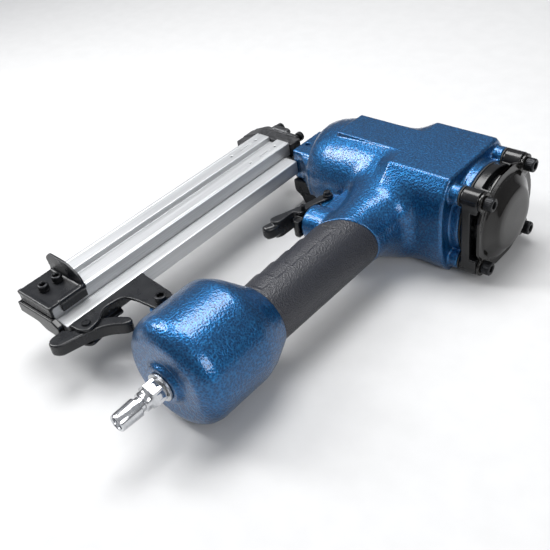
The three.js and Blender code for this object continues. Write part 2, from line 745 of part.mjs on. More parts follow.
// ---------------------------------------------------------------- handle end
function gripSleeve() {
  const tube = ring('y', GRIP_BOTTOM, -50, GRIP_RADIUS, HANDLE_RADIUS + GAP, [HANDLE_X, 0], 36);
  return keepInside(tube, belowGripRim(-GAP));
}

const TANK_SIDES = 36;

// Rings of the tank from its rim, which follows the handle, to its own centre line.
function tankRing(y, radius, centre) {
  const points = [];
  for (let i = 0; i < TANK_SIDES; i += 1) {
    const angle = (2 * Math.PI * i) / TANK_SIDES;
    points.push(new THREE.Vector3(centre + radius * Math.cos(angle), y, radius * Math.sin(angle)));
  }
  return points;
}

function tankSkin(wall) {
  const rings = [
    [TANK_FRONT, 21.6, HANDLE_X], [TANK_FRONT - 2.5, 23.6, HANDLE_X - 0.8],
    [TANK_SHOULDER + 6, 32.6, TANK_X + 1.8], [TANK_SHOULDER, TANK_RADIUS - 0.6, TANK_X],
    [TANK_SHOULDER - 3, TANK_RADIUS, TANK_X], [TANK_END + 12, TANK_RADIUS, TANK_X],
    [TANK_END + 7, 35, TANK_X], [TANK_END + 3, 32, TANK_X],
  ].map(([y, radius, centre]) => tankRing(y, radius - wall, centre));
  const last = tankRing(TANK_END + wall, 27 - wall / 2, TANK_X);
  return loft([...rings, last]);
}

function tank() {
  const boss = turned('y', [
    [TANK_BOSS_END, 0], [TANK_BOSS_END, 11.5], [TANK_BOSS_END + 1.2, 12.8], [TANK_END + 1, 14],
    [TANK_END + 1, 0],
  ], [TANK_X, 0], 24);
  const lug = plate('xy', rounded([
    [-88, -181, 6], [-60, -178, 1], [-58, -202, 1], [-70, -202, 2], [-88, -196, 6],
  ]), -13, HANGER_TOP - HANGER_SHEET - GAP);
  return cut(
    join(tankSkin(0), boss, lug),
    tankSkin(TANK_WALL),
    bar('y', TANK_FRONT - 10, TANK_FRONT + 1, HANDLE_RADIUS + GAP, [HANDLE_X, 0], 40),
    bar('y', TANK_BOSS_END - 1, TANK_END + 6, 6.6, [TANK_X, 0], 24),
    bar('z', -20, 10, 2.8, [HANGER_SCREW.x, HANGER_SCREW.y], 12),
  );
}

function airPlug() {
  const hexRadius = PLUG_HEX_AF / 2 / Math.cos(Math.PI / 6);
  const hex = bar('y', -247.5, -238.6, hexRadius, [TANK_X, 0], 6);
  const hexTrim = turned('y', [
    [-247.5, 0], [-247.5, 7.1], [-246, hexRadius + 0.1], [-240, hexRadius + 0.1], [-238.6, 7.4], [-238.6, 0],
  ], [TANK_X, 0], 24);
  const stem = turned('y', [
    [PLUG_END, 0], [PLUG_END, 5.1], [PLUG_END + 0.8, 5.5], [-257.5, 5.95], [-255.2, 5.95],
    [-254.6, 4.6], [-252.2, 4.6], [-251.6, 5.9], [-248.6, 5.9], [-247.8, 6.7], [-247, 6.7], [-247, 0],
  ], [TANK_X, 0], 24);
  const thread = bar('y', -239, TANK_END + 5, 6.2, [TANK_X, 0], 24);
  return cut(
    join(keepInside(hex, hexTrim), stem, thread),
    bar('y', PLUG_END - 1, TANK_END + 6, 3.6, [TANK_X, 0], 20),
    turned('y', [
      [PLUG_END - 1, 0], [PLUG_END - 1, 4.4], [PLUG_END + 1, 3.4], [PLUG_END + 1, 0],
    ], [TANK_X, 0], 20),
  );
}

add('grip_sleeve', gripSleeve(), 'rubber');
add('reservoir_tank', tank(), 'bluePaint');
add('plug_washer', ring('y', -238.3, TANK_BOSS_END - GAP, 9.2, 6.5, [TANK_X, 0], 24), 'steel');
add('air_plug', airPlug(), 'chrome');

// ---------------------------------------------------------------- magazine
// The track is fixed to the nose and the tank. The cover slides back along it.
function magazineTrack() {
  const section = polygon([
    [TRACK_RIGHT, TRACK_BOTTOM], [TRACK_RIGHT, TRACK_TOP - 1], [TRACK_RIGHT - 1, TRACK_TOP],
    [TRACK_LEFT + 1.8, TRACK_TOP], [TRACK_LEFT + 1.8, TRACK_TOP - 0.7],
    [TRACK_LEFT, TRACK_TOP - 0.7], [TRACK_LEFT, CLEAT_SLOT],
    [CLEAT_HEAD, CLEAT_SLOT], [CLEAT_HEAD, -CLEAT_SLOT], [TRACK_LEFT, -CLEAT_SLOT],
    [TRACK_LEFT, MAG_COVER_BOTTOM - GAP], [-142, MAG_COVER_BOTTOM - GAP], [-142, TRACK_BOTTOM + 1.5],
    [-140, TRACK_BOTTOM],
  ]);
  return plate('xz', section, MAG_END_Y, TRACK_FRONT_Y);
}

function magazineCover() {
  const section = polygon([
    [MAG_LEFT, MAG_COVER_BOTTOM + 0.8], [MAG_LEFT, MAG_TOP - 1], [MAG_LEFT + 1, MAG_TOP],
    [RIB_1_RIGHT - 0.8, MAG_TOP], [RIB_1_RIGHT, MAG_TOP - 0.8],
    [RIB_1_RIGHT, GROOVE_FLOOR], [RIB_2_LEFT, GROOVE_FLOOR],
    [RIB_2_LEFT, MAG_TOP - 0.8], [RIB_2_LEFT + 0.8, MAG_TOP], [MAG_COVER_RIGHT - 0.8, MAG_TOP],
    [MAG_COVER_RIGHT, MAG_TOP - 0.8], [MAG_COVER_RIGHT, CLEAT_SLOT],
    [CHANNEL_RIGHT, CLEAT_SLOT], [CHANNEL_RIGHT, 3.9], [CHANNEL_LEFT, 3.9], [CHANNEL_LEFT, CLEAT_SLOT],
    [CLEAT_TIP - 0.5, CLEAT_SLOT], [CLEAT_TIP - 0.5, -CLEAT_SLOT], [MAG_COVER_RIGHT, -CLEAT_SLOT],
    [MAG_COVER_RIGHT, MAG_COVER_BOTTOM], [MAG_LEFT + 1, MAG_COVER_BOTTOM],
  ]);
  const extrusion = plate('xz', section, MAG_END_Y, MAG_COVER_FRONT);
  const marks = [-153, -133.4].map((x) => block([x - 0.8, -36, MAG_TOP - 0.8], [x + 0.4, -25, MAG_TOP + 1]));
  const threads = TAIL_SCREW_YS.map((y) => bar('z', 4.6, 20, 2.2, [TAIL_SCREW_X, y], 12));
  return cut(extrusion, ...marks, ...threads);
}

// The pusher follows the cleats: a body in the cover's channel with a blade in the slot.
function pusher() {
  const from = -205;
  const to = -180;
  return join(
    block([CHANNEL_LEFT + 0.4, from, -0.5], [CHANNEL_RIGHT - 0.4, to, 3.5]),
    block([CLEAT_TIP + 0.5, from, -0.5], [CLEAT_HEAD - 1, to, 0.5]),
  );
}

// A flat ribbon spring: its roll sits behind the pusher and pulls it to the nose.
function pusherSpring() {
  return turned('x', [[-145, 0.6], [-145, 1.7], [-135, 1.7], [-135, 0.6]], [-207.2, 1.6], 16);
}

add('magazine_track', magazineTrack(), 'aluminium');
add('magazine_cover', magazineCover(), 'aluminium');
add('pusher', pusher(), 'steel');
add('pusher_spring', pusherSpring(), 'steel');

// ---------------------------------------------------------------- magazine tail
const TAIL_LEFT = -158.5;
const TAIL_RIGHT = -125;
const TAIL_FRONT = -211.5;
const TAIL_SHEET = 2;
const END_PLATE_RIGHT = -118;

function tailBracket() {
  const low = MAG_TOP + GAP;
  const high = low + TAIL_SHEET;
  const deck = block([TAIL_LEFT, MAG_END_Y - GAP - TAIL_SHEET, low], [TAIL_RIGHT, TAIL_FRONT, high]);
  const endFold = block(
    [TAIL_LEFT, MAG_END_Y - GAP - TAIL_SHEET, 6.2],
    [TAIL_RIGHT, MAG_END_Y - GAP, high],
  );
  const sideFold = block([TAIL_RIGHT - TAIL_SHEET, -231, 5.2], [TAIL_RIGHT, TAIL_FRONT, high]);
  const fin = plate('xz', rounded([
    [TAIL_LEFT - 2, 22.5, 1], [TAIL_LEFT + 3, 27, 2], [TAIL_RIGHT - 12, 26.5, 6],
    [TAIL_RIGHT - 0.5, 19, 4], [TAIL_RIGHT, low, 0], [TAIL_LEFT, low, 0],
  ]), TAIL_FRONT - TAIL_SHEET, TAIL_FRONT);
  const holes = TAIL_SCREW_YS.map((y) => bar('z', 0, 40, 2.6, [TAIL_SCREW_X, y], 12));
  return cut(join(deck, endFold, sideFold, fin), ...holes);
}

function endPlate() {
  const outline = rounded([
    [MAG_LEFT, 5.8, 0.8], [-124, 5.8, 1], [END_PLATE_RIGHT, 2.6, 1], [END_PLATE_RIGHT, -6, 2], [-134, -6, 2],
    [-141, -2.2, 2], [MAG_LEFT, -2.2, 1],
  ]);
  return plate('xz', outline, MAG_END_Y - 4.6, MAG_END_Y - GAP);
}

add('tail_bracket', tailBracket(), 'blackOxide');
TAIL_SCREW_YS.forEach((y, i) => {
  add(`tail_screw_${i + 1}`, capScrew('z', 4.9, 14.1, 18.6, 3.5, [TAIL_SCREW_X, y]), 'blackOxide');
});
add('end_plate', endPlate(), 'blackPaint');

// ---------------------------------------------------------------- hanger and latch
const HANGER_LEFT = TRACK_RIGHT + GAP;

function hangerScrew() {
  const seat = HANGER_TOP + GAP;
  return capScrew('z', -12.6, seat, seat + 4.9, 4.2, [HANGER_SCREW.x, HANGER_SCREW.y]);
}

// A folded channel: its web lies along the track, its top flange reaches the tank lug
// and both flanges carry the lever pin.
function hangerBracket() {
  const web = block([HANGER_LEFT, -236, -8], [HANGER_LEFT + HANGER_SHEET, -176, HANGER_TOP]);
  const topFlange = plate('xy', rounded([
    [HANGER_LEFT, -176, 0.5], [-82, -179, 4], [-74, -184, 5], [-74, -195, 5], [-96, -196.5, 5],
    [-106.5, -199, 6], [-109, -214, 6], [-101.5, -222, 6], [-100, -233, 6], [-106, -236, 6],
    [HANGER_LEFT, -236, 0.5],
  ]), HANGER_TOP - HANGER_SHEET, HANGER_TOP);
  const bottomFlange = plate('xy', rounded([
    [HANGER_LEFT, -200, 0.5], [-108, -200, 4], [-109, -214, 6], [-101.5, -222, 6],
    [-100, -233, 6], [-106, -236, 6], [HANGER_LEFT, -236, 0.5],
  ]), -10, -8);
  return cut(
    join(web, topFlange, bottomFlange),
    bar('z', -20, 20, 2.3, [LEVER_PIVOT.x, LEVER_PIVOT.y], 16),
    bar('z', -20, 20, 2.8, [HANGER_SCREW.x, HANGER_SCREW.y], 12),
  );
}

function leverOutline() {
  return rounded([
    [END_PLATE_RIGHT + 0.5, -239.5, 2], [-111.4, -238, 3], [-109, -224, 6], [-100, -213.5, 6],
    [-90, -207.5, 6], [-85.5, -209.5, 3], [-87.5, -214.5, 4], [-97, -222, 8], [-102.5, -235, 10],
    [-106.5, -251, 3], [-113, -254, 3], [END_PLATE_RIGHT + 0.5, -250, 3],
  ]);
}

function latchLever() {
  const body = plate('xy', leverOutline(), -7.6, 1);
  return cut(body, bar('z', -20, 20, 2.3, [LEVER_PIVOT.x, LEVER_PIVOT.y], 16));
}

add('hanger_bracket', hangerBracket(), 'blackOxide');
add('hanger_screw', hangerScrew(), 'blackOxide');
add('latch_lever', latchLever(), 'blackOxide');
add('lever_pin', pinWithHeads(-10.3, 3.7, 2, 3, [LEVER_PIVOT.x, LEVER_PIVOT.y]), 'steel');

export default nailer;
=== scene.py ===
import json
import math

import bpy
import numpy as np
from mathutils import Matrix, Vector

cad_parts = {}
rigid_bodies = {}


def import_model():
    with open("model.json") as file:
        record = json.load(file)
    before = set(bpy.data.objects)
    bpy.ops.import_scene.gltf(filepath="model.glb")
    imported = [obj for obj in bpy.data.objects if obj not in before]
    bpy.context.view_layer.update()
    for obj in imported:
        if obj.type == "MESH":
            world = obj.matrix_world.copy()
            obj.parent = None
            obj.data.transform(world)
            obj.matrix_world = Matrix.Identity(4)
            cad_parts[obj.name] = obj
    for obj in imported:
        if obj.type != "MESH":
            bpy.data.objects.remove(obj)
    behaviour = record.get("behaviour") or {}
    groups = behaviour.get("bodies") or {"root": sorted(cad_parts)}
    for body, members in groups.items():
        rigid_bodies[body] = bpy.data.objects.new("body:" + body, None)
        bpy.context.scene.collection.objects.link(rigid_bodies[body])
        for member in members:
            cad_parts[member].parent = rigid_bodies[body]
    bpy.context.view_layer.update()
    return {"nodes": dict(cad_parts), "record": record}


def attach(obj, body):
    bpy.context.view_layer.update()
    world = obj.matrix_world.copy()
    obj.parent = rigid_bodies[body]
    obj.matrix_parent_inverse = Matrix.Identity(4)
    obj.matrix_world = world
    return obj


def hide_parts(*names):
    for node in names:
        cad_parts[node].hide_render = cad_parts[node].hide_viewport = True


for old in list(bpy.data.objects):
    bpy.data.objects.remove(old)

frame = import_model()
NODES = frame["nodes"]
MM = 0.001
MID = 36.5                      # height of the tool's mid-plane above the floor, mm
FINE = 1.0

# All shapes below are in millimetres: x along the drive axis, y along the handle,
# z from the mid-plane.


# ---------------------------------------------------------------- outlines
def soften(points, steps=4):
    """Outline with rounded corners: each entry is (u, v) or (u, v, radius)."""
    out = []
    count = len(points)
    for i, point in enumerate(points):
        corner = np.array(point[:2], float)
        radius = point[2] if len(point) > 2 else 0
        if radius <= 0:
            out.append(corner)
            continue
        before = np.array(points[i - 1][:2], float) - corner
        after = np.array(points[(i + 1) % count][:2], float) - corner
        lb, la = np.linalg.norm(before), np.linalg.norm(after)
        radius = min(radius, 0.45 * lb, 0.45 * la)
        start, end = corner + before / lb * radius, corner + after / la * radius
        for t in np.linspace(0, 1, steps + 1):
            out.append((1 - t) ** 2 * start + 2 * t * (1 - t) * corner + t * t * end)
    return np.array(out)


def flat_distance(u, v, points):
    """Signed distance to a closed outline, negative inside."""
    u, v = np.broadcast_arrays(u, v)
    nearest = np.full(u.shape, 1e9, np.float32)
    inside = np.zeros(u.shape, bool)
    for (au, av), (bu, bv) in zip(points, np.roll(points, -1, axis=0)):
        eu, ev = bu - au, bv - av
        wu, wv = u - au, v - av
        t = np.clip((wu * eu + wv * ev) / max(eu * eu + ev * ev, 1e-9), 0, 1)
        nearest = np.minimum(nearest, (wu - t * eu) ** 2 + (wv - t * ev) ** 2)
        if abs(ev) > 1e-9:
            inside ^= ((av > v) != (bv > v)) & (wu < eu * wv / ev)
    return np.where(inside, -1, 1).astype(np.float32) * np.sqrt(nearest)


# ---------------------------------------------------------------- solid fields
class Grid:
    """A block of sample points; fields on it are signed distances in millimetres."""

    def __init__(self, low, high, step):
        step = np.array(step if np.ndim(step) else [step] * 3, float) * FINE
        self.low = np.array(low, float)
        self.step = step
        counts = np.ceil((np.array(high, float) - self.low) / step).astype(int) + 1
        axes = [(self.low[i] + step[i] * np.arange(counts[i])).astype(np.float32) for i in range(3)]
        self.x = axes[0].reshape(-1, 1, 1)
        self.y = axes[1].reshape(1, -1, 1)
        self.z = axes[2].reshape(1, 1, -1)
        self.shape = tuple(counts)

    def along(self, axis):
        return {"x": self.x, "y": self.y, "z": self.z}[axis]

    def across(self, axis):
        return {"x": (self.y, self.z), "y": (self.x, self.z), "z": (self.x, self.y)}[axis]


def edge(flat, deep, radius):
    """Meets two distances in an edge rounded to radius."""
    a, b = flat + radius, deep + radius
    return np.minimum(np.maximum(a, b), 0) + np.hypot(np.maximum(a, 0), np.maximum(b, 0)) - radius


def span(g, axis, low, high):
    w = g.along(axis)
    return np.maximum(low - w, w - high)


def bar(g, axis, low, high, radius, centre=(0, 0), soft=0.0):
    u, v = g.across(axis)
    return edge(np.hypot(u - centre[0], v - centre[1]) - radius, span(g, axis, low, high), soft)


def block(g, low, high, soft=0.0):
    flat = edge(span(g, "x", low[0], high[0]), span(g, "y", low[1], high[1]), soft)
    return edge(flat, span(g, "z", low[2], high[2]), soft)


PLANES = {"xy": ("x", "y", "z"), "xz": ("x", "z", "y"), "yz": ("y", "z", "x")}


def prism(g, plane, outline, low, high, soft=0.0):
    first, second, axis = PLANES[plane]
    flat = flat_distance(g.along(first), g.along(second), soften(outline))
    return edge(flat, span(g, axis, low, high), soft)


def turned(g, axis, profile, centre=(0, 0)):
    """A turned solid: profile entries are (along, radius) or (along, radius, corner)."""
    half = soften(profile)
    loop = np.vstack([half, np.column_stack([half[:, 0], -half[:, 1]])[::-1]])
    u, v = g.across(axis)
    radius = np.hypot(u - centre[0], v - centre[1])
    pitch = 0.2
    radii = np.arange(0, float(radius.max()) + 2 * pitch, pitch, dtype=np.float32)
    w = g.along(axis).ravel()
    table = flat_distance(w[:, None], radii[None, :], loop)
    low = (radius / pitch).astype(np.int32)
    part = radius / pitch - low
    k = {"x": 0, "y": 1, "z": 2}[axis]
    low = np.squeeze(low, axis=k)
    part = np.squeeze(part, axis=k)
    field = table[:, low] * (1 - part) + table[:, low + 1] * part
    return np.moveaxis(field, 0, k)


def join(soft, *parts):
    field = parts[0]
    for other in parts[1:]:
        if soft > 0:
            h = np.maximum(soft - np.abs(field - other), 0) / soft
            field = np.minimum(field, other) - h * h * (soft / 4)
        else:
            field = np.minimum(field, other)
    return field


def cut(soft, field, *tools):
    return -join(soft, -field, *tools)


def smooth_rows(values, reach):
    """Rounds the corners of a table that was read off straight lines."""
    if reach < 1:
        return values
    kernel = np.hanning(2 * reach + 3)[1:-1]
    padded = np.pad(values, reach, mode="edge")
    return np.convolve(padded, kernel / kernel.sum(), mode="valid")


def rows(axis_values, stations, column, reach_mm):
    """One column of a list of stations, read at every sample along the axis."""
    table = np.array(sorted(stations), float)
    w = axis_values.ravel().astype(float)
    reach = int(round(reach_mm / abs(w[1] - w[0])))
    value = smooth_rows(np.interp(w, table[:, 0], table[:, column]), reach)
    return value.astype(np.float32).reshape(axis_values.shape)


CORNERS = [(a, b, c) for a in (0, 1) for b in (0, 1) for c in (0, 1)]


def skin(g, field):
    """Surface nets: one vertex in each cell that the surface crosses, then one quad
    across each grid edge that it crosses."""
    field = np.ascontiguousarray(np.broadcast_to(field, g.shape).astype(np.float32))
    field = np.where(field == 0, 1e-5, field)
    inside = field < 0
    nx, ny, nz = field.shape

    def corner(a, b, c, table):
        return table[a:nx - 1 + a, b:ny - 1 + b, c:nz - 1 + c]

    full = np.zeros((nx - 1, ny - 1, nz - 1), np.uint8)
    for a, b, c in CORNERS:
        full += corner(a, b, c, inside)
    cells = np.argwhere((full > 0) & (full < 8))
    names = np.full(full.shape, -1, np.int32)
    names[tuple(cells.T)] = np.arange(len(cells))
    value = {k: field[cells[:, 0] + k[0], cells[:, 1] + k[1], cells[:, 2] + k[2]] for k in CORNERS}
    place = np.zeros((len(cells), 3), np.float32)
    hits = np.zeros(len(cells), np.float32)
    for a in CORNERS:
        for axis in range(3):
            if a[axis]:
                continue
            b = tuple(1 if i == axis else a[i] for i in range(3))
            fa, fb = value[a], value[b]
            crossed = (fa < 0) != (fb < 0)
            t = np.where(crossed, fa / np.where(crossed, fa - fb, 1), 0)
            for i in range(3):
                place[:, i] += np.where(crossed, t if i == axis else a[i], 0)
            hits += crossed
    place /= hits[:, None]
    for _ in range(3):
        place = onto_surface(place, value, g.step)
    points = g.low + (cells + place) * g.step
    faces = []
    for axis, (p, q) in ((0, (1, 2)), (1, (2, 0)), (2, (0, 1))):
        here = [slice(1, n - 1) for n in field.shape]
        here[axis] = slice(0, field.shape[axis] - 1)
        there = list(here)
        there[axis] = slice(1, field.shape[axis])
        start, end = inside[tuple(here)], inside[tuple(there)]
        at = np.argwhere(start != end)
        outward = start[tuple(at.T)]
        at += [s.start for s in here]
        quad = []
        for dp, dq in ((-1, -1), (0, -1), (0, 0), (-1, 0)):
            cell = at.copy()
            cell[:, p] += dp
            cell[:, q] += dq
            quad.append(names[tuple(cell.T)])
        quad = np.column_stack(quad)
        quad[~outward] = quad[~outward][:, ::-1]
        faces.append(quad)
    return points, np.vstack(faces)


def onto_surface(place, value, step):
    """Moves each vertex along the field's slope to where the field is zero."""
    x, y, z = place.T
    total = np.zeros(len(place), np.float32)
    slope = np.zeros_like(place)
    for (a, b, c), v in value.items():
        wx, wy, wz = (x if a else 1 - x), (y if b else 1 - y), (z if c else 1 - z)
        total += v * wx * wy * wz
        slope[:, 0] += v * (1 if a else -1) * wy * wz / step[0]
        slope[:, 1] += v * (1 if b else -1) * wx * wz / step[1]
        slope[:, 2] += v * (1 if c else -1) * wx * wy / step[2]
    push = total / np.maximum((slope ** 2).sum(axis=1), 0.05)
    return np.clip(place - slope * push[:, None] * 0.7 / step.astype(np.float32), 0, 1)


# ---------------------------------------------------------------- turned pieces
def radius_at(angle, radius, form):
    if form == "hex":
        turn = (angle + math.pi / 6) % (math.pi / 3) - math.pi / 6
        return radius / np.cos(turn)
    if form == "knurl":
        ridge = np.arange(len(angle)) % 4 < 2
        return radius - 0.13 * ridge
    return np.full_like(angle, radius)


def spun(axis, rings, centre=(0, 0), sides=48, turn=0.0):
    """A closed skin through rings (along, radius[, form]). A form is round, hex or
    knurl; hex radii are half the width across flats."""
    angle = 2 * math.pi * np.arange(sides) / sides
    points, faces = [], []
    for ring in rings:
        along, radius = ring[:2]
        form = ring[2] if len(ring) > 2 else "round"
        r = radius_at(angle, max(radius, 0.01), form)
        u = centre[0] + r * np.cos(angle + turn)
        v = centre[1] + r * np.sin(angle + turn)
        w = np.full_like(u, along)
        points.append(np.column_stack({"x": (w, u, v), "y": (u, w, v), "z": (u, v, w)}[axis]))
    count = len(rings)
    i = np.arange(sides)
    j = (i + 1) % sides
    for k in range(count - 1):
        near, far = k * sides, (k + 1) * sides
        faces.append(np.column_stack([near + i, near + j, far + j, far + i]))
    quads = np.vstack(faces).tolist()
    quads.append(list(range(sides))[::-1])
    quads.append([(count - 1) * sides + n for n in range(sides)])
    return np.vstack(points), quads


def piece(name, mesh, material, body, slot, *replaced, smooth_angle=None):
    """A named object from a mesh in millimetres, riding on a body."""
    points, faces = mesh
    data = bpy.data.meshes.new(name)
    metres = (np.asarray(points, float) + [0, 0, MID]) * MM
    if isinstance(faces, np.ndarray):
        data.vertices.add(len(metres))
        data.vertices.foreach_set("co", metres.astype(np.float32).ravel())
        data.loops.add(faces.size)
        data.loops.foreach_set("vertex_index", faces.astype(np.int32).ravel())
        data.polygons.add(len(faces))
        data.polygons.foreach_set("loop_start", np.arange(0, faces.size, 4, dtype=np.int32))
        data.update(calc_edges=True)
    else:
        data.from_pydata(metres.tolist(), [], faces)
        data.update()
    obj = bpy.data.objects.new(name, data)
    bpy.context.scene.collection.objects.link(obj)
    if smooth_angle is None:
        data.shade_smooth()
    else:
        face_outward(data)
        data.set_sharp_from_angle(angle=math.radians(smooth_angle))
    data.materials.append(material)
    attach(obj, body)
    if replaced:
        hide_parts(*replaced)
    return obj


def face_outward(data):
    import bmesh
    work = bmesh.new()
    work.from_mesh(data)
    bmesh.ops.remove_doubles(work, verts=work.verts, dist=1e-7)
    bmesh.ops.recalc_face_normals(work, faces=work.faces)
    work.to_mesh(data)
    work.free()


# ---------------------------------------------------------------- materials
class Nodes:
    """A small builder for one procedural material."""

    def __init__(self, name):
        self.material = bpy.data.materials.new(name)
        self.material.use_nodes = True
        self.tree = self.material.node_tree
        self.shader = self.tree.nodes["Principled BSDF"]
        coordinates = self.tree.nodes.new("ShaderNodeTexCoord")
        self.place = coordinates.outputs["Object"]

    def node(self, kind, settings=None, **inputs):
        made = self.tree.nodes.new(kind)
        for key, value in (settings or {}).items():
            setattr(made, key, value)
        for key, value in inputs.items():
            self.feed(made.inputs[key.replace("_", " ")], value)
        return made

    def feed(self, socket, value):
        if isinstance(value, bpy.types.NodeSocket):
            self.tree.links.new(value, socket)
        else:
            socket.default_value = value

    def set(self, **inputs):
        for key, value in inputs.items():
            self.feed(self.shader.inputs[key.replace("_", " ")], value)

    def noise(self, scale, detail=2.0, stretch=None, rough=0.5):
        vector = self.place
        if stretch:
            vector = self.node("ShaderNodeMapping", Vector=self.place, Scale=stretch).outputs[0]
        return self.node("ShaderNodeTexNoise", Vector=vector, Scale=scale, Detail=detail,
                         Roughness=rough).outputs["Fac"]

    def cells(self, scale, smoothness=0.6, randomness=1.0):
        made = self.node("ShaderNodeTexVoronoi", {"feature": "SMOOTH_F1"}, Vector=self.place,
                         Scale=scale, Smoothness=smoothness, Randomness=randomness)
        return made.outputs["Distance"]

    def ramp(self, value, *stops):
        made = self.node("ShaderNodeValToRGB")
        self.feed(made.inputs[0], value)
        points = made.color_ramp.elements
        while len(points) < len(stops):
            points.new(0.5)
        for point, (position, color) in zip(points, stops):
            point.position = position
            point.color = (*color, 1) if np.ndim(color) else (color, color, color, 1)
        return made.outputs[0]

    def math(self, operation, a, b):
        made = self.tree.nodes.new("ShaderNodeMath")
        made.operation = operation
        self.feed(made.inputs[0], a)
        self.feed(made.inputs[1], b)
        return made.outputs[0]

    def mix(self, factor, a, b, blend="MIX"):
        made = self.tree.nodes.new("ShaderNodeMix")
        made.data_type = "RGBA"
        made.blend_type = blend
        self.feed(made.inputs[0], factor)
        for socket, value in ((made.inputs[6], a), (made.inputs[7], b)):
            self.feed(socket, (*value, 1) if isinstance(value, tuple) else value)
        return made.outputs[2]

    def bump(self, height, depth, strength=1.0, base=None):
        made = self.node("ShaderNodeBump", Height=height, Distance=depth, Strength=strength)
        if base is not None:
            self.feed(made.inputs["Normal"], base)
        return made.outputs[0]

    # Pointiness mask of convex edges. On the enamels it paints a highlight where edges catch light; on the
    # oxide steel it stands for real edge wear.
    def edge_wear_and_highlight(self, low=0.52, high=0.60):
        geometry = self.node("ShaderNodeNewGeometry")
        return self.ramp(geometry.outputs["Pointiness"], (low, 0.0), (high, 1.0))


def hammered_enamel():
    """Blue hammertone: a glossy coat over small dimples with paler flecks."""
    m = Nodes("blue_enamel")
    dimple = m.cells(760, 0.35)
    fine = m.noise(1500, 3)
    broad = m.noise(28, 2)
    grain = m.math("ADD", m.math("MULTIPLY", dimple, 0.7), m.math("MULTIPLY", fine, 0.5))
    tone = m.ramp(grain, (0.30, (0.0016, 0.034, 0.105)), (0.56, (0.0038, 0.072, 0.205)),
                  (0.82, (0.012, 0.135, 0.330)))
    shade = m.ramp(broad, (0.35, 0.86), (0.65, 1.0))
    color = m.mix(1.0, tone, shade, "MULTIPLY")
    # Convex edges mixed towards a paler blue: a painted highlight, as if the edges caught the light.
    color = m.mix(m.math("MULTIPLY", m.edge_wear_and_highlight(), 0.25), color, (0.04, 0.16, 0.36))
    m.set(Base_Color=color, Metallic=0.85, Coat_Weight=0.7, Coat_Roughness=0.07,
          Roughness=m.ramp(fine, (0.3, 0.30), (0.7, 0.44)))
    m.set(Normal=m.bump(grain, 0.0004, 0.8), Coat_Normal=m.bump(grain, 0.00018, 0.7))
    return m.material


def black_gloss(name, color, rough, flow=0.00006):
    """Black enamel with a faint flow and fine dust."""
    m = Nodes(name)
    flow_field = m.noise(140, 2)
    dust = m.noise(2600, 2)
    tone = m.ramp(dust, (0.35, tuple(0.8 * c for c in color)), (0.75, tuple(1.5 * c for c in color)))
    # Convex edges mixed towards grey: a painted highlight, as if the edges caught the light.
    tone = m.mix(m.math("MULTIPLY", m.edge_wear_and_highlight(0.56, 0.68), 0.3), tone, (0.07, 0.072, 0.075))
    m.set(Base_Color=tone, Metallic=0.0, Specular_IOR_Level=0.4,
          Roughness=m.ramp(flow_field, (0.3, rough), (0.7, rough + 0.12)))
    m.set(Normal=m.bump(m.math("ADD", flow_field, m.math("MULTIPLY", dust, 0.08)), flow, 0.5))
    return m.material


def oxide_steel(name, dark, pale, rough):
    """Blackened or phosphated steel: mottled, slightly worn at its edges."""
    m = Nodes(name)
    mottle = m.noise(420, 4)
    fine = m.noise(3200, 2)
    tone = m.ramp(mottle, (0.35, dark), (0.68, pale))
    # Convex edges mixed towards a paler steel: edge wear.
    tone = m.mix(m.math("MULTIPLY", m.edge_wear_and_highlight(0.56, 0.66), 0.35), tone,
                 tuple(min(1.0, 3.5 * c) for c in pale))
    m.set(Base_Color=tone, Metallic=0.75, Roughness=m.ramp(mottle, (0.3, rough), (0.7, rough + 0.16)))
    m.set(Normal=m.bump(fine, 0.00002, 0.5))
    return m.material


def extruded_aluminium():
    """Satin anodised extrusion with die lines along its length."""
    m = Nodes("anodised_extrusion")
    lines = m.noise(1100, 3, (1.0, 0.012, 1.0))
    broad = m.noise(60, 2, (1.0, 0.2, 1.0))
    tone = m.ramp(lines, (0.3, (0.44, 0.45, 0.46)), (0.7, (0.58, 0.59, 0.60)))
    tone = m.mix(0.25, tone, m.ramp(broad, (0.3, (0.44, 0.45, 0.46)), (0.7, (0.60, 0.605, 0.62))))
    m.set(Base_Color=tone, Metallic=0.8, Roughness=m.ramp(lines, (0.3, 0.44), (0.7, 0.54)))
    m.set(Normal=m.bump(lines, 0.00003, 0.4))
    return m.material


def turned_metal(name, low, high, rough, axis_stretch=(1.0, 1.0, 1.0)):
    m = Nodes(name)
    lines = m.noise(1500, 3, axis_stretch)
    tone = m.ramp(lines, (0.3, low), (0.7, high))
    m.set(Base_Color=tone, Metallic=1.0, Roughness=m.ramp(lines, (0.3, rough), (0.7, rough + 0.1)))
    m.set(Normal=m.bump(lines, 0.00001, 0.4))
    return m.material


def grip_rubber():
    """Charcoal moulded rubber with a fine leather-like grain."""
    m = Nodes("grip_rubber")
    grain = m.cells(1000, 0.35)
    fine = m.noise(2200, 2)
    wear = m.noise(45, 3)
    height = m.math("ADD", grain, m.math("MULTIPLY", fine, 0.4))
    tone = m.ramp(height, (0.25, (0.005, 0.0055, 0.0078)), (0.75, (0.018, 0.0195, 0.0265)))
    tone = m.mix(m.ramp(wear, (0.4, 0.0), (0.75, 0.3)), tone, (0.026, 0.027, 0.033))
    m.set(Base_Color=tone, Roughness=m.ramp(fine, (0.3, 0.34), (0.7, 0.48)), Specular_IOR_Level=0.5)
    m.set(Normal=m.bump(height, 0.00035, 0.8))
    return m.material


def moulded(name, dark, pale, rough):
    m = Nodes(name)
    grain = m.noise(1800, 3)
    tone = m.ramp(grain, (0.3, dark), (0.7, pale))
    m.set(Base_Color=tone, Roughness=m.ramp(grain, (0.3, rough), (0.7, rough + 0.12)))
    m.set(Normal=m.bump(grain, 0.00004, 0.4))
    return m.material


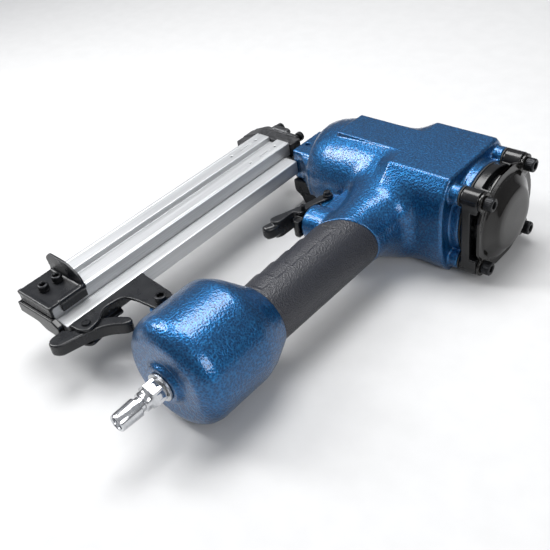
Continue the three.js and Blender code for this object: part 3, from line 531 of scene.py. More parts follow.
BLUE = hammered_enamel()
BLACK = black_gloss("black_enamel", (0.0055, 0.0058, 0.0066), 0.16)
COVER = black_gloss("cover_enamel", (0.0085, 0.0080, 0.0075), 0.05, 0.00002)
SHEET = black_gloss("black_sheet", (0.0085, 0.0092, 0.0110), 0.24)
OXIDE = oxide_steel("black_oxide", (0.012, 0.0125, 0.014), (0.030, 0.031, 0.034), 0.28)
NOSE = oxide_steel("nose_steel", (0.040, 0.041, 0.043), (0.095, 0.096, 0.100), 0.34)
EXTRUSION = extruded_aluminium()
BARE = turned_metal("bare_aluminium", (0.60, 0.61, 0.63), (0.74, 0.75, 0.77), 0.28)
STEEL = turned_metal("bright_steel", (0.42, 0.43, 0.44), (0.60, 0.61, 0.62), 0.26)
CHROME = turned_metal("plug_chrome", (0.50, 0.51, 0.53), (0.66, 0.67, 0.69), 0.12, (0.1, 1.0, 0.1))
RUBBER = grip_rubber()
SEAL = moulded("seal_rubber", (0.014, 0.014, 0.014), (0.030, 0.030, 0.030), 0.55)
POLYMER = moulded("polymer", (0.38, 0.17, 0.07), (0.52, 0.26, 0.11), 0.45)
BY_SLOT = {
    "blue_enamel": BLUE, "black_enamel": BLACK, "cover_enamel": COVER, "black_sheet": SHEET,
    "black_oxide": OXIDE, "nose_steel": NOSE, "anodised_extrusion": EXTRUSION,
    "bare_aluminium": BARE, "bright_steel": STEEL, "plug_chrome": CHROME,
    "grip_rubber": RUBBER, "seal_rubber": SEAL, "polymer": POLYMER,
}

# ---------------------------------------------------------------- body casting
BODY_FRONT, BODY_REAR, FLANGE_REAR = -97, 26, 33
CAP_SCREW_Y, CAP_SCREW_Z, LUG = 26.4, 25, 7
HANDLE_X, GRIP_RADIUS = -22.5, 20.6
GRIP_TOP, GRIP_SLANT, GRIP_BOTTOM = -81, 0.55, -163.2
TRIGGER_PIVOT, VALVE_Y = (-61, -47.5), -70
NOSE_TIP, NOSE_REAR = -177, -125.6


def grip_rim(g, shift=0.0):
    """Distance past the slanted grip rim, positive on the tank side."""
    return ((GRIP_TOP + shift + GRIP_SLANT * (g.x - HANDLE_X)) - g.y) / math.hypot(1, GRIP_SLANT)


def powered(u, v, power):
    return (np.abs(u) ** power + np.abs(v) ** power) ** (1 / power)


BARREL_STATIONS = [
    (BODY_FRONT, 28), (-93, 31), (-87, 33.6), (-79, 35.6), (-68, 37), (-52, 38), (-38, 38.4), (40, 38.4),
]
SQUARE_SECTION = [
    (-29.5, 36.5, 1.2), (29.5, 36.5, 1.2), (37.5, 27, 8), (41, 12, 12), (41, -12, 12), (37.5, -27, 8),
    (29.5, -36.5, 1.2), (-29.5, -36.5, 1.2), (-37.5, -27, 8), (-41, -12, 12), (-41, 12, 12), (-37.5, 27, 8),
]
SQUARE_SHARE = [(-40, 0), (-38, 0), (-31, 0.22), (-26, 0.62), (-20.5, 1), (40, 1)]
ROOT_STATIONS = [
    (-24, 25, 24, 35, 3), (-38, 24.5, 23.6, 35, 2.8), (-44, 23.6, 23, 31.5, 2.5),
    (-52, 22.4, 22.2, 27, 2.2), (-60, 21.3, 21.3, 22.6, 2), (-70, 20.6, 20.6, 20.6, 2),
    (-110, 20.6, 20.6, 20.6, 2),
]


def four(make):
    return [make(sy * CAP_SCREW_Y, sz * CAP_SCREW_Z) for sy in (-1, 1) for sz in (-1, 1)]


def body_shell(g):
    barrel = np.hypot(g.y, g.z) - rows(g.x, BARREL_STATIONS, 1, 1.6)
    square = flat_distance(g.y, g.z, soften(SQUARE_SECTION, 6))
    share = rows(g.x, SQUARE_SHARE, 1, 1.2)
    shell = np.maximum(barrel * (1 - share) + square * share, np.abs(g.z) - MID)
    platform = block(g, (-75, -14.5, -MID), (-20, 14.5, MID), 0.7)
    shell = join(1.0, shell, platform)
    return edge(shell, span(g, "x", BODY_FRONT, BODY_REAR), 2.2)


def handle_root(g):
    width, above, below, power = (rows(g.y, ROOT_STATIONS, k, 4) for k in (1, 2, 3, 4))
    height = np.where(g.z > 0, above, below)
    form = (powered((g.x - HANDLE_X) / width, g.z / height, power) - 1) * np.minimum(width, height)
    return edge(np.maximum(form, g.y + 24), grip_rim(g), 0.5)


def body_mesh():
    g = Grid((-118, -99, -38), (35, 43, 38), 0.8)
    flange = join(2.0, bar(g, "x", BODY_REAR - 3, FLANGE_REAR, 32.2, soft=1.0),
                  *four(lambda y, z: bar(g, "x", BODY_REAR - 3, FLANGE_REAR, LUG, (y, z), 1.0)))
    neck = prism(g, "yz", [(-17, -13.5, 2.5), (17, -13.5, 2.5), (17, 11, 2.5), (-17, 11, 2.5)],
                 NOSE_REAR + 0.3, BODY_FRONT + 4, 1.0)
    gusset = prism(g, "xy", [(-117, -10), (-92, -10), (-92, -31), (-110, -17)], -13, 8, 1.0)
    ear_outline = [(-64.6, -41, 3), (-40, -36, 2), (-40, -62, 2), (-56, -60, 3), (-64.6, -52, 3)]
    ear = prism(g, "xy", ear_outline, -4.5, 4.5, 0.8)
    shoulder = prism(g, "xy", [(-53.5, -30, 2), (-30, -30, 2), (-30, -64, 2), (-53.5, -61, 3)], -8, 8.5, 2.0)
    boss = bar(g, "x", -58, -30, 12, (VALVE_Y, 0), 2.0)
    tube = bar(g, "y", -98, -80, 17.5, (HANDLE_X, 0))
    shell = join(1.5, body_shell(g), flange)
    shell = join(3.0, shell, neck, gusset)
    shell = join(9.0, shell, handle_root(g))
    shell = join(2.0, shell, boss)
    shell = join(1.6, shell, shoulder, ear)
    shell = np.maximum(np.minimum(shell, tube), np.abs(g.z) - MID)
    shell = cut(0, shell,
                bar(g, "x", -72.3, 35, 29.5),
                bar(g, "x", -59, -34, 7.9, (VALVE_Y, 0)),
                block(g, (-127, -1.2, -3.6), (-71, 1.2, 3.6)),
                *four(lambda y, z: bar(g, "x", 14, 40, 3.2, (y, z))))
    shell = cut(0.6, shell, bar(g, "z", 8, 20, 1.8, (-113.5, -4.0)))
    clearance = prism(g, "xy", [(-72, -41.7), (-54.6, -41.7), (-54.6, -60), (-60, -66), (-72, -66)],
                      -7.4, 7.4)
    web = prism(g, "xy", ear_outline, -4.5, 4.5, 0.8)
    shell = np.minimum(np.maximum(shell, -clearance), np.maximum(web, clearance))
    return skin(g, shell)


tube_rings = [(-178, 13), (-178, 17.5), (-98, 17.5), (-98, 13)]
piece("body_casting_look", body_mesh(), BLUE, "frame", "blue_enamel", "body_casting")
piece("handle_tube_look", spun("y", tube_rings, (HANDLE_X, 0), 64), BLUE, "frame", "blue_enamel",
      smooth_angle=30)

# ---------------------------------------------------------------- cap end
HEAD_FRONT, HEAD_REAR, CAP_FRONT, CAP_REAR = 34.4, 46.5, 46.8, 49
SCREW_SEAT, SCREW_FACE = 49.3, 55


def head_mesh():
    g = Grid((33.5, -35, -34), (47.5, 35, 34), 0.45)
    floor = HEAD_FRONT + 5.5
    shape = join(1.5, bar(g, "x", HEAD_FRONT, HEAD_REAR, 32, soft=0.6),
                 *four(lambda y, z: bar(g, "x", HEAD_FRONT, HEAD_REAR, LUG, (y, z), 0.6)),
                 block(g, (floor - 4, -33.2, -25), (HEAD_REAR, -20, 25), 0.6))
    hollow = bar(g, "x", floor, HEAD_REAR + 3, 27.5)
    windows = [
        block(g, (floor + 1, -16, 14), (HEAD_REAR + 3, 16, 44)),
        block(g, (floor + 1, -16, -44), (HEAD_REAR + 3, 16, -14)),
        block(g, (floor + 1, 14, -14), (HEAD_REAR + 3, 44, 14)),
        block(g, (HEAD_REAR - 4.5, -44, -18), (HEAD_REAR + 3, -14, 18)),
    ]
    shape = cut(0.8, shape, hollow, *windows)
    return skin(g, cut(0, shape, bar(g, "x", 30, floor - 2, 24.6),
                       *four(lambda y, z: bar(g, "x", 30, 60, 3.2, (y, z)))))


def cover_mesh():
    g = Grid((46.2, -35.5, -34), (57.2, 37, 34), 0.45)
    sheet = join(1.5, bar(g, "x", CAP_FRONT, CAP_REAR, 35.2, soft=0.5),
                 *four(lambda y, z: bar(g, "x", CAP_FRONT, CAP_REAR, LUG - 0.3, (y, z), 0.5)))
    sheet = edge(sheet, -33.2 - g.y, 0.5)
    dome = turned(g, "x", [(CAP_REAR - 1.5, 0), (CAP_REAR - 1.5, 30), (CAP_REAR + 1.0, 29.2, 2),
                           (CAP_REAR + 4.6, 23, 4), (CAP_REAR + 6.8, 20.2, 2.5),
                           (CAP_REAR + 7.3, 16, 3), (CAP_REAR + 7.4, 0)])
    notches = four(lambda y, z: bar(g, "x", CAP_REAR - 0.1, 60, LUG - 0.6, (y, z)))
    inside = turned(g, "x", [(CAP_FRONT - 3, 0), (CAP_FRONT - 3, 27.5), (CAP_REAR + 2.4, 22.4),
                             (CAP_REAR + 4.8, 18.5), (CAP_REAR + 5.2, 0)])
    shape = join(1.0, sheet, cut(0.8, dome, *notches))
    return skin(g, cut(0, shape, inside, *four(lambda y, z: bar(g, "x", 40, 60, 3.2, (y, z)))))


piece("cylinder_head_look", head_mesh(), BLACK, "frame", "black_enamel", "cylinder_head")
piece("exhaust_cover_look", cover_mesh(), COVER, "frame", "cover_enamel", "exhaust_cover")


def socket_screw(axis, tip, seat, face, radius, centre, washer=False):
    """A socket-head screw with a knurled head, a rolled rim and a hexagon socket."""
    way = 1 if face > seat else -1
    socket = radius * 0.50
    depth = abs(face - seat) * 0.55
    shank = radius * 0.56
    rings = [
        (tip, 0), (tip, shank - 0.4), (tip + way * 0.4, shank), (seat, shank),
        (seat, radius - 0.3), (seat + way * 0.3, radius),
        (seat + way * 0.7, radius), (seat + way * 0.75, radius, "knurl"),
        (face - way * 1.0, radius, "knurl"), (face - way * 0.95, radius - 0.05),
        (face - way * 0.45, radius - 0.15), (face - way * 0.12, radius - 0.5), (face, radius - 1.0),
        (face, socket + 0.45), (face - way * 0.3, socket, "hex"),
        (face - way * depth, socket, "hex"), (face - way * (depth + 0.5), 0),
    ]
    return spun(axis, rings, centre, 96)


for number, (sy, sz) in enumerate([(-1, 1), (-1, -1), (1, 1), (1, -1)], 1):
    name = f"cap_screw_{number}"
    centre = (sy * CAP_SCREW_Y, sz * CAP_SCREW_Z)
    piece(name + "_look", socket_screw("x", 14, SCREW_SEAT, SCREW_FACE, 4.6, centre), OXIDE,
          "frame", "black_oxide", name, smooth_angle=32)

# ---------------------------------------------------------------- nose
def nose_guide_mesh():
    g = Grid((-178, -19, -11), (-124.6, 2, 12), 0.4)
    outline = [(NOSE_TIP, -4, 1), (NOSE_TIP, 4, 1), (-162, 10, 2), (NOSE_REAR, 10, 1),
               (NOSE_REAR, -9.5, 1), (-162, -9.5, 2)]
    foot = [(NOSE_TIP, -3.5, 1), (NOSE_TIP, 3.5, 1), (-164, 8, 1), (-164, -6, 1)]
    shape = join(0.8, prism(g, "xz", outline, -10, 0.9, 0.4), prism(g, "xz", foot, -18, -9.3, 0.4))
    return skin(g, cut(0, shape, block(g, (-180, -1, -3.6), (-120, 3, 3.6)),
                       block(g, (-158, -30, -0.85), (-119, 0, 0.85)),
                       bar(g, "y", -30, 5, 2.2, (-154, 7.6)), bar(g, "y", -30, 5, 2.2, (-131, 7.6))))


def nose_plate_mesh():
    g = Grid((-177, 0.5, -11), (-128.5, 9, 12.5), 0.4)
    outline = [(NOSE_TIP + 1, -4, 1), (NOSE_TIP + 1, 4, 1), (-162, 10, 2), (NOSE_REAR - 4, 10, 2),
               (NOSE_REAR - 4, -9.5, 2), (-162, -9.5, 2)]
    pad = [(-158, -8, 2), (-158, 11, 3), (-141, 11, 3), (-141, -8, 2)]
    shape = join(0.8, prism(g, "xz", outline, 1.2, 4.4, 0.4), prism(g, "xz", pad, 3, 8, 0.8))
    return skin(g, cut(0, shape, bar(g, "y", -5, 12, 2.2, (-154, 7.6)),
                       bar(g, "y", -5, 12, 2.2, (-131, 7.6))))


def nose_bracket_mesh():
    g = Grid((-120, -20, -36), (-98, 13, -12.8), 0.5)
    outline = [(-119, -13.8, 1), (-99, -13.8, 1), (-99, -35, 3), (-109, -35, 3), (-113, -27, 3),
               (-119, -24, 3)]
    return skin(g, prism(g, "xz", outline, -19, 12, 0.7))


piece("nose_rear_guide_look", nose_guide_mesh(), NOSE, "frame", "nose_steel", "nose_rear_guide")
piece("nose_front_plate_look", nose_plate_mesh(), NOSE, "frame", "nose_steel", "nose_front_plate")
piece("nose_bracket_look", nose_bracket_mesh(), SHEET, "frame", "black_sheet", "nose_bracket")
piece("nose_screw_1_look", socket_screw("y", -9.4, 8.3, 12, 3.6, (-154, 7.6)), OXIDE, "frame",
      "black_oxide", "nose_screw_1", smooth_angle=32)
piece("nose_screw_2_look", socket_screw("y", -9.4, 4.7, 8.4, 3.6, (-131, 7.6)), OXIDE, "frame",
      "black_oxide", "nose_screw_2", smooth_angle=32)


# ---------------------------------------------------------------- trigger and valve
STRIKER = (-65, -69.5)


def trigger_mesh():
    g = Grid((-82, -100.5, -7.6), (-56.5, -41.5, 7.6), 0.35)
    outline = [
        (-64.4, -43.4, 3.3), (-57.8, -43.4, 3.3), (-58.2, -50, 3.4), (-63, -62, 5),
        (-63.2, -73.2, 1.5), (-69.2, -75.2, 1), (-69.6, -88, 4), (-72, -92, 4), (-78, -90, 4),
        (-77.2, -86, 6), (-74.5, -79, 4), (-68.8, -64, 8),
    ]
    fork = [(-75, -41), (-40, -41), (-40, -74.5), (-68.4, -74.5), (-66.8, -62)]
    arm = prism(g, "xy", outline, -6.6, 6.6, 0.7)
    tail = prism(g, "xy", [(-69.5, -82, 2), (-70.0, -93, 5), (-73.2, -99.4, 4.5), (-80.4, -97.2, 4.5),
                           (-77.6, -88, 6), (-75.6, -81, 2)], -5.2, 4.6, 3.0)
    shape = join(0.8, arm, tail)
    return skin(g, cut(0.3, shape, prism(g, "xy", fork, -4.8, 4.8),
                       bar(g, "z", -20, 20, 2.3, TRIGGER_PIVOT), bar(g, "z", -20, 20, 1.7, STRIKER)))


def pivot_pin():
    rings = [
        (-8.1, 0), (-8.1, 2.8), (-7.8, 3.2), (-7.4, 3.3), (-6.9, 3.3), (-6.9, 2), (6.9, 2), (6.9, 3.3),
        (7.5, 3.4), (8.0, 3.2), (8.1, 2.9), (8.1, 2.4), (8.6, 2.2), (9.4, 2.2), (9.6, 2.4), (9.9, 2.4),
        (10.2, 2.1), (10.2, 1.0), (10.0, 0.8), (10.0, 0),
    ]
    return spun("z", rings, TRIGGER_PIVOT, 48)


def striker_pin():
    rings = [(-8.4, 0), (-8.4, 1.2), (-8.1, 1.5), (10.1, 1.5), (10.4, 1.2), (10.4, 0.6), (9.6, 0.5), (9.6, 0)]
    return spun("z", rings, STRIKER, 32)


def trigger_stop_mesh():
    g = Grid((-65.5, -84, -7.3), (-57.6, -75.1, 6.8), 0.3)
    outline = [(-64.8, -75.9, 1), (-58.3, -75.9, 1), (-58.3, -83.2, 1), (-62.4, -83.2, 2), (-64.8, -81, 1)]
    shape = prism(g, "xy", outline, -6.6, 6.0, 0.5)
    recess = prism(g, "xy", [(-63.6, -77.2, 0.5), (-59.6, -77.2, 0.5),
                             (-59.6, -81.6, 0.5), (-63.6, -81.6, 0.5)],
                   5.0, 12)
    return skin(g, cut(0.4, shape, recess))


def headed_pin(low, high, radius, head, centre):
    rings = [
        (low - 1.2, 0), (low - 1.2, head - 0.5), (low - 0.9, head - 0.1), (low - 0.6, head), (low, head),
        (low, radius), (high, radius), (high, head), (high + 0.6, head), (high + 0.9, head - 0.1),
        (high + 1.2, head - 0.5), (high + 1.2, head * 0.45), (high + 0.9, head * 0.35), (high + 0.9, 0),
    ]
    return spun("z", rings, centre, 48)


piece("trigger_look", trigger_mesh(), SHEET, "trigger", "black_sheet", "trigger")
piece("trigger_pin_look", pivot_pin(), OXIDE, "frame", "black_oxide", "trigger_pin", smooth_angle=32)
piece("striker_pin_look", striker_pin(), OXIDE, "trigger", "black_oxide", "striker_pin", smooth_angle=32)
piece("trigger_stop_look", trigger_stop_mesh(), BLACK, "frame", "black_enamel", "trigger_stop")
bushing_rings = [
    (-60.6, 3.1), (-60.6, 4), (-59.8, 4.6), (-58.3, 4.6), (-58.3, 7.2), (-58.0, 7.6), (-44, 7.6),
    (-44, 6), (-40, 6), (-40, 3.1), (-60.6, 3.1),
]
piece("valve_bushing_look", spun("x", bushing_rings, (VALVE_Y, 0), 48), BLACK, "frame",
      "black_enamel", "valve_bushing", smooth_angle=32)
plunger_rings = [
    (-63.2, 0), (-63.2, 1.6), (-63.0, 2.1), (-62.4, 2.6), (-62.0, 2.7), (-39.7, 2.7), (-39.7, 5.0),
    (-39.5, 5.2), (-37.2, 5.2), (-37, 5.0), (-37, 0),
]
piece("valve_plunger_look", spun("x", plunger_rings, (VALVE_Y, 0), 48), STEEL, "valve_plunger",
      "bright_steel", "valve_plunger", smooth_angle=32)


# ---------------------------------------------------------------- grip and tank
STEP_PITCH, STEP_FIRST, STEP_LAST, STEP_HEIGHT = 13.9, -91.6, -147.3, 1.0


GRIP_MARKS = (-91.5, -105.0, -118.5, -132.7, -147.0)   # short grooves across the top of the grip
MARK_HALF, MARK_DEPTH = 0.6, 0.9
MARK_FROM, MARK_TO = -7.0, 3.5                         # their reach either side of the grip's axis


def grip_mesh():
    g = Grid((HANDLE_X - 21.6, -164, -21.6), (HANDLE_X + 21.6, -66, 21.6), 0.5)
    u = g.x - HANDLE_X
    radius = np.hypot(u, g.z)
    front = np.clip((3.6 - u) / 0.9, 0, 1)
    part = ((g.y - STEP_LAST) / STEP_PITCH) % 1.0
    within = np.clip(STEP_FIRST + 0.5 - g.y, 0, 1) * np.clip(g.y - STEP_LAST + STEP_PITCH - 0.5, 0, 1)
    step = STEP_HEIGHT * (part - 1) * front * within
    wall = radius - (GRIP_RADIUS + step)
    shape = edge(edge(wall, GRIP_BOTTOM - g.y, 0.7), grip_rim_reverse(g), 0.7)
    for y in GRIP_MARKS:
        mark = np.maximum(np.abs(g.y - y) - MARK_HALF, np.maximum(MARK_FROM - u, u - MARK_TO))
        shape = np.maximum(shape, -np.maximum(mark, np.maximum(-g.z, GRIP_RADIUS - MARK_DEPTH - radius)))
    return skin(g, np.maximum(shape, 17.8 - radius))


def grip_rim_reverse(g):
    return -grip_rim(g, -0.3)


TANK_X, TANK_FRONT, TANK_END = -30, -163.5, -233
TANK_STATIONS = [
    (TANK_FRONT + 4, 21.4, HANDLE_X), (TANK_FRONT, 21.6, HANDLE_X), (-166, 23.6, HANDLE_X - 0.8),
    (-176, 32.6, TANK_X + 1.8), (-182, 35.8, TANK_X), (-185, 36.4, TANK_X), (-221, 36.4, TANK_X),
    (-226, 35, TANK_X), (-230, 32, TANK_X), (-233, 27, TANK_X), (-237, 18, TANK_X),
]


def tank_mesh():
    g = Grid((-90, -238, -37.5), (8, -162.5, 37.5), 0.8)
    radius, centre = (rows(g.y, TANK_STATIONS, k, 1.6) for k in (1, 2))
    slope = np.gradient(radius.ravel(), float(g.step[1])).astype(np.float32).reshape(radius.shape)
    skin_field = (np.hypot(g.x - centre, g.z) - radius) / np.sqrt(1 + slope ** 2)
    skin_field = edge(skin_field, span(g, "y", TANK_END, TANK_FRONT), 0.8)
    boss = turned(g, "y", [(-236.5, 0), (-236.5, 12.2, 0.8), (-233.5, 14, 1), (-231, 15), (-231, 0)],
                  (TANK_X, 0))
    lug = prism(g, "xy", [(-88, -181, 6), (-60, -178, 1), (-58, -202, 1), (-70, -202, 2), (-88, -196, 6)],
                -13, 1.1, 1.0)
    shape = join(1.5, skin_field, boss)
    shape = join(3.0, shape, lug)
    tools = [bar(g, "y", -200, -160, 17.8, (HANDLE_X, 0)), bar(g, "y", -240, -227, 6.6, (TANK_X, 0)),
             bar(g, "z", -20, 10, 2.8, (-81, -188.5))]
    return skin(g, cut(0, shape, *tools))


piece("grip_sleeve_look", grip_mesh(), RUBBER, "frame", "grip_rubber", "grip_sleeve")
piece("reservoir_tank_look", tank_mesh(), BLUE, "frame", "blue_enamel", "reservoir_tank")

HEX = 7.0
plug_rings = [
    (-228, 3.6), (-228, 6.2), (-238.4, 6.2), (-238.6, 6.7), (-239.6, HEX, "hex"), (-246.6, HEX, "hex"),
    (-247.5, 6.7), (-248.2, 6.1), (-248.6, 5.9), (-251.4, 5.9), (-251.7, 5.7), (-252.3, 4.6),
    (-254.5, 4.6), (-255.0, 5.7), (-255.3, 5.95), (-257.4, 5.95), (-263, 5.75), (-268.6, 5.5),
    (-269.3, 5.3), (-269.6, 5.0), (-269.6, 4.3), (-269.2, 3.8), (-268.6, 3.6), (-228, 3.6),
]
washer_rings = [
    (-238.3, 6.5), (-238.3, 9.0), (-238.1, 9.2), (-237.0, 9.2), (-236.8, 9.0), (-236.8, 6.5),
    (-238.3, 6.5),
]
piece("air_plug_look", spun("y", plug_rings, (TANK_X, 0), 96, 0.26), CHROME, "frame", "plug_chrome",
      "air_plug", smooth_angle=28)
piece("plug_washer_look", spun("y", washer_rings, (TANK_X, 0), 64), STEEL, "frame", "bright_steel",
      "plug_washer", smooth_angle=28)

# ---------------------------------------------------------------- magazine
MAG_LEFT, MAG_TOP, MAG_END = -160, 11.5, -237.6
COVER_EDGE, COVER_LOW = -127.3, -2.5
TRACK_LEFT, TRACK_RIGHT, TRACK_TOP, TRACK_LOW = -126.9, -114.3, 3.1, -8.1
SLOT = 0.85


def magazine_cover_mesh():
    g = Grid((-161, MAG_END - 1.6, -3.4), (-126.3, -9.4, 12.4), (0.32, 0.8, 0.32))
    section = [
        (MAG_LEFT, COVER_LOW + 0.8, 0.5), (MAG_LEFT, MAG_TOP - 0.2, 1.2), (MAG_LEFT + 0.8, MAG_TOP, 1.2),
        (-147.5, MAG_TOP, 0.9), (-147.5, 7.2, 0.7), (-139.5, 7.2, 0.7),
        (-139.5, MAG_TOP, 0.9), (COVER_EDGE, MAG_TOP, 0.9),
        (COVER_EDGE, SLOT), (-132, SLOT), (-132, 3.9), (-148, 3.9), (-148, SLOT),
        (-157.5, SLOT), (-157.5, -SLOT), (COVER_EDGE, -SLOT),
        (COVER_EDGE, COVER_LOW), (MAG_LEFT + 1, COVER_LOW),
    ]
    shape = prism(g, "xz", section, MAG_END, -10.3)
    marks = [block(g, (x - 0.8, -36, MAG_TOP - 0.8), (x + 0.5, -25, MAG_TOP + 3)) for x in (-153, -133.4)]
    vents = [bar(g, "z", 8.6, 20, 0.9, (x, y)) for x in (-153.2, -133.6) for y in (-19.5, -47)]
    threads = [bar(g, "z", 4.6, 20, 2.2, (-143.5, y)) for y in (-229.5, -218.9)]
    lines = [block(g, (x - 0.28, -300, MAG_TOP - 0.35), (x + 0.28, 20, MAG_TOP + 3))
             for x in (-157.6, -129.4)]
    return skin(g, cut(0, shape, *marks, *vents, *threads, *lines))


def magazine_track_mesh():
    g = Grid((-143, MAG_END - 1.6, -9), (-113.4, -16.6, 4), (0.32, 0.8, 0.32))
    section = [
        (TRACK_RIGHT, TRACK_LOW, 0.8), (TRACK_RIGHT, TRACK_TOP, 1.1), (TRACK_LEFT + 1.8, TRACK_TOP, 0.5),
        (TRACK_LEFT + 1.8, TRACK_TOP - 0.8), (TRACK_LEFT, TRACK_TOP - 0.8), (TRACK_LEFT, SLOT),
        (-119, SLOT), (-119, -SLOT), (TRACK_LEFT, -SLOT),
        (TRACK_LEFT, COVER_LOW - 0.3), (-142, COVER_LOW - 0.3), (-142, TRACK_LOW + 1.5), (-140, TRACK_LOW),
    ]
    shape = prism(g, "xz", section, MAG_END, -17.6)
    return skin(g, shape)


piece("magazine_cover_look", magazine_cover_mesh(), EXTRUSION, "magazine_cover",
      "anodised_extrusion", "magazine_cover")
piece("magazine_track_look", magazine_track_mesh(), EXTRUSION, "frame", "anodised_extrusion",
      "magazine_track")


# ---------------------------------------------------------------- magazine tail
def tail_bracket_mesh():
    g = Grid((-161.6, -241, 4.2), (-124, -210.5, 28), 0.4)
    low, high = MAG_TOP + 0.3, MAG_TOP + 2.3
    deck = block(g, (-158.5, MAG_END - 2.3, low), (-125, -211.5, high), 0.4)
    end_fold = block(g, (-158.5, MAG_END - 2.3, 6.2), (-125, MAG_END - 0.3, high), 0.4)
    side_fold = block(g, (-127, -231, 5.2), (-125, -211.5, high), 0.4)
    fin = prism(g, "xz", [(-160.5, 22.5, 1), (-155.5, 27, 2), (-137, 26.5, 6), (-125.5, 19, 4),
                          (-125, low, 0), (-158.5, low, 0)], -213.5, -211.5, 0.5)
    shape = join(1.6, deck, end_fold, side_fold, fin)
    return skin(g, cut(0.3, shape, *[bar(g, "z", 0, 40, 2.6, (-143.5, y)) for y in (-229.5, -218.9)]))


def end_plate_mesh():
    g = Grid((-161, -243, -7), (-117, -237, 6.8), 0.4)
    outline = [(MAG_LEFT, 5.8, 0.8), (-124, 5.8, 1), (-118, 2.6, 1), (-118, -6, 2), (-134, -6, 2),
               (-141, -2.2, 2), (MAG_LEFT, -2.2, 1)]
    return skin(g, prism(g, "xz", outline, MAG_END - 4.6, MAG_END - 0.3, 0.6))


piece("tail_bracket_look", tail_bracket_mesh(), SHEET, "magazine_cover", "black_sheet", "tail_bracket")
piece("end_plate_look", end_plate_mesh(), BLACK, "magazine_cover", "black_enamel", "end_plate")
for number, y in enumerate((-229.5, -218.9), 1):
    name = f"tail_screw_{number}"
    piece(name + "_look", socket_screw("z", 4.9, 14.1, 18.6, 3.5, (-143.5, y)), OXIDE,
          "magazine_cover", "black_oxide", name, smooth_angle=32)

# ---------------------------------------------------------------- hanger and latch
HANGER_LEFT, HANGER_TOP = -114, 3.4
LEVER_PIVOT = (-106.5, -229)
HANGER_SCREW = (-81, -188.5)


def hanger_mesh():
    g = Grid((-115, -237, -11), (-73, -175, 4.4), 0.45)
    web = block(g, (HANGER_LEFT, -236, -8.5), (HANGER_LEFT + 2, -176, HANGER_TOP), 0.4)
    top = [(HANGER_LEFT, -176, 0.5), (-82, -179, 4), (-74, -184, 5), (-74, -195, 5), (-96, -196.5, 5),
           (-106.5, -199, 6), (-109, -214, 6), (-101.5, -222, 6), (-100, -233, 6), (-106, -236, 6),
           (HANGER_LEFT, -236, 0.5)]
    bottom = [(HANGER_LEFT, -200, 0.5), (-108, -200, 4), (-109, -214, 6), (-101.5, -222, 6),
              (-100, -233, 6), (-106, -236, 6), (HANGER_LEFT, -236, 0.5)]
    shape = join(1.6, web, prism(g, "xy", top, HANGER_TOP - 2, HANGER_TOP, 0.5),
                 prism(g, "xy", bottom, -10, -8, 0.5))
    shape = np.maximum(shape, span(g, "z", -10, HANGER_TOP))
    return skin(g, cut(0.3, shape, bar(g, "z", -20, 20, 2.3, LEVER_PIVOT),
                       bar(g, "z", -20, 20, 2.8, HANGER_SCREW)))


def lever_mesh():
    g = Grid((-118.5, -255, -8.4), (-84.5, -206.5, 1.8), 0.4)
    outline = [
        (-117.5, -239.5, 2), (-111.4, -238, 3), (-109, -224, 6), (-100, -213.5, 6),
        (-90, -207.5, 6), (-85.5, -209.5, 3), (-87.5, -214.5, 4), (-97, -222, 8), (-102.5, -235, 10),
        (-106.5, -251, 3), (-113, -254, 3), (-117.5, -250, 3),
    ]
    shape = prism(g, "xy", outline, -7.6, 1, 1.2)
    return skin(g, cut(0.3, shape, bar(g, "z", -20, 20, 2.3, LEVER_PIVOT)))


piece("hanger_bracket_look", hanger_mesh(), SHEET, "frame", "black_sheet", "hanger_bracket")
piece("latch_lever_look", lever_mesh(), SHEET, "latch_lever", "black_sheet", "latch_lever")
piece("hanger_screw_look", socket_screw("z", -12.6, 3.7, 8.6, 4.2, HANGER_SCREW), OXIDE, "frame",
      "black_oxide", "hanger_screw", smooth_angle=32)
piece("lever_pin_look", headed_pin(-10.3, 3.7, 2, 3, LEVER_PIVOT), OXIDE, "frame", "black_oxide",
      "lever_pin", smooth_angle=32)

# ---------------------------------------------------------------- carried-over nodes
SLOT_OF = {row["node"]: row["material_slot"] for row in frame["record"]["subparts"]}
for node_name, node in NODES.items():
    node.data.materials.clear()
    node.data.materials.append(BY_SLOT[SLOT_OF[node_name]])

# ---------------------------------------------------------------- floor, lights, camera
bpy.ops.mesh.primitive_plane_add(size=6, location=(0, 0, -0.0002))
floor = bpy.context.object
floor.name = "floor"
m = Nodes("floor_paper")
paper = m.noise(60, 2)
m.set(Base_Color=m.ramp(paper, (0.3, (0.56, 0.56, 0.56)), (0.7, (0.58, 0.58, 0.58))), Roughness=0.9)
floor.data.materials.append(m.material)


def softbox(name, place, target, size, watts):
    data = bpy.data.lights.new(name, "AREA")
    data.shape = "RECTANGLE"
    data.size, data.size_y = size
    data.energy = watts
    lamp = bpy.data.objects.new(name, data)
    bpy.context.scene.collection.objects.link(lamp)
    lamp.location = place
    lamp.rotation_euler = (Vector(target) - Vector(place)).to_track_quat("-Z", "Y").to_euler()
    return lamp


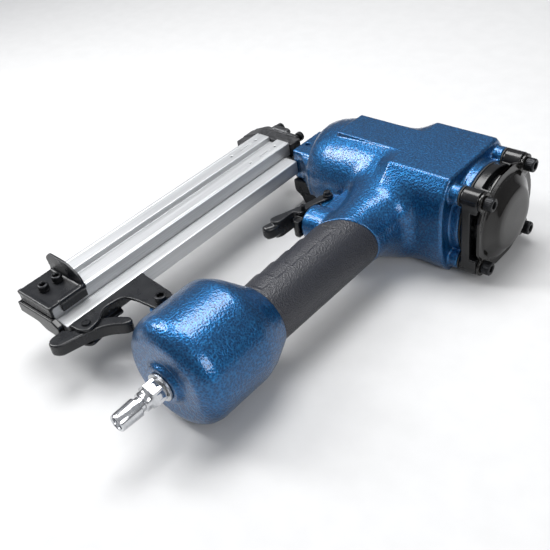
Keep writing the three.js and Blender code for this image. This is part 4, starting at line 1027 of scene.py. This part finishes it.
softbox("key_softbox", (-0.20, 0.10, 0.95), (-0.03, -0.1, 0.0), (0.6, 0.5), 10)
softbox("window_softbox", (-0.62, -0.35, 0.60), (-0.03, -0.12, 0.03), (0.22, 0.4), 5)
softbox("rear_softbox", (0.75, -0.30, 0.45), (0.0, -0.05, 0.03), (0.35, 0.35), 3)
world = bpy.data.worlds.new("studio")
bpy.context.scene.world = world
world.use_nodes = True
sky = world.node_tree
height = sky.nodes.new("ShaderNodeSeparateXYZ")
sky.links.new(sky.nodes.new("ShaderNodeTexCoord").outputs["Generated"], height.inputs[0])
fade = sky.nodes.new("ShaderNodeValToRGB")
fade.color_ramp.elements[0].position, fade.color_ramp.elements[0].color = 0.0, (0.16, 0.16, 0.17, 1)
fade.color_ramp.elements[1].position, fade.color_ramp.elements[1].color = 0.8, (0.42, 0.43, 0.45, 1)
sky.links.new(height.outputs["Z"], fade.inputs[0])
sky.links.new(fade.outputs[0], sky.nodes["Background"].inputs[0])
sky.nodes["Background"].inputs[1].default_value = 1.0
bpy.context.scene.view_settings.view_transform = "Standard"

CAMERA_AT = Vector((0.25283, -0.40199, 0.35113))
AZIMUTH, ELEVATION, ROLL = (math.radians(a) for a in (46.99, 38.11, -9.53))
FOCAL = 806.1 / 550 * 36
ahead = Vector((-math.sin(AZIMUTH) * math.cos(ELEVATION), math.cos(AZIMUTH) * math.cos(ELEVATION),
                -math.sin(ELEVATION)))
level = Vector((math.cos(AZIMUTH), math.sin(AZIMUTH), 0))
upright = level.cross(ahead)
right = level * math.cos(ROLL) + upright * math.sin(ROLL)
up = -level * math.sin(ROLL) + upright * math.cos(ROLL)
turn = Matrix((right, up, -ahead)).transposed()
lens = bpy.data.cameras.new("camera")
lens.lens, lens.sensor_width = FOCAL, 36
lens.clip_start, lens.clip_end = 0.01, 20
camera = bpy.data.objects.new("camera", lens)
bpy.context.scene.collection.objects.link(camera)
camera.matrix_world = Matrix.Translation(CAMERA_AT) @ turn.to_4x4()
bpy.context.scene.camera = camera
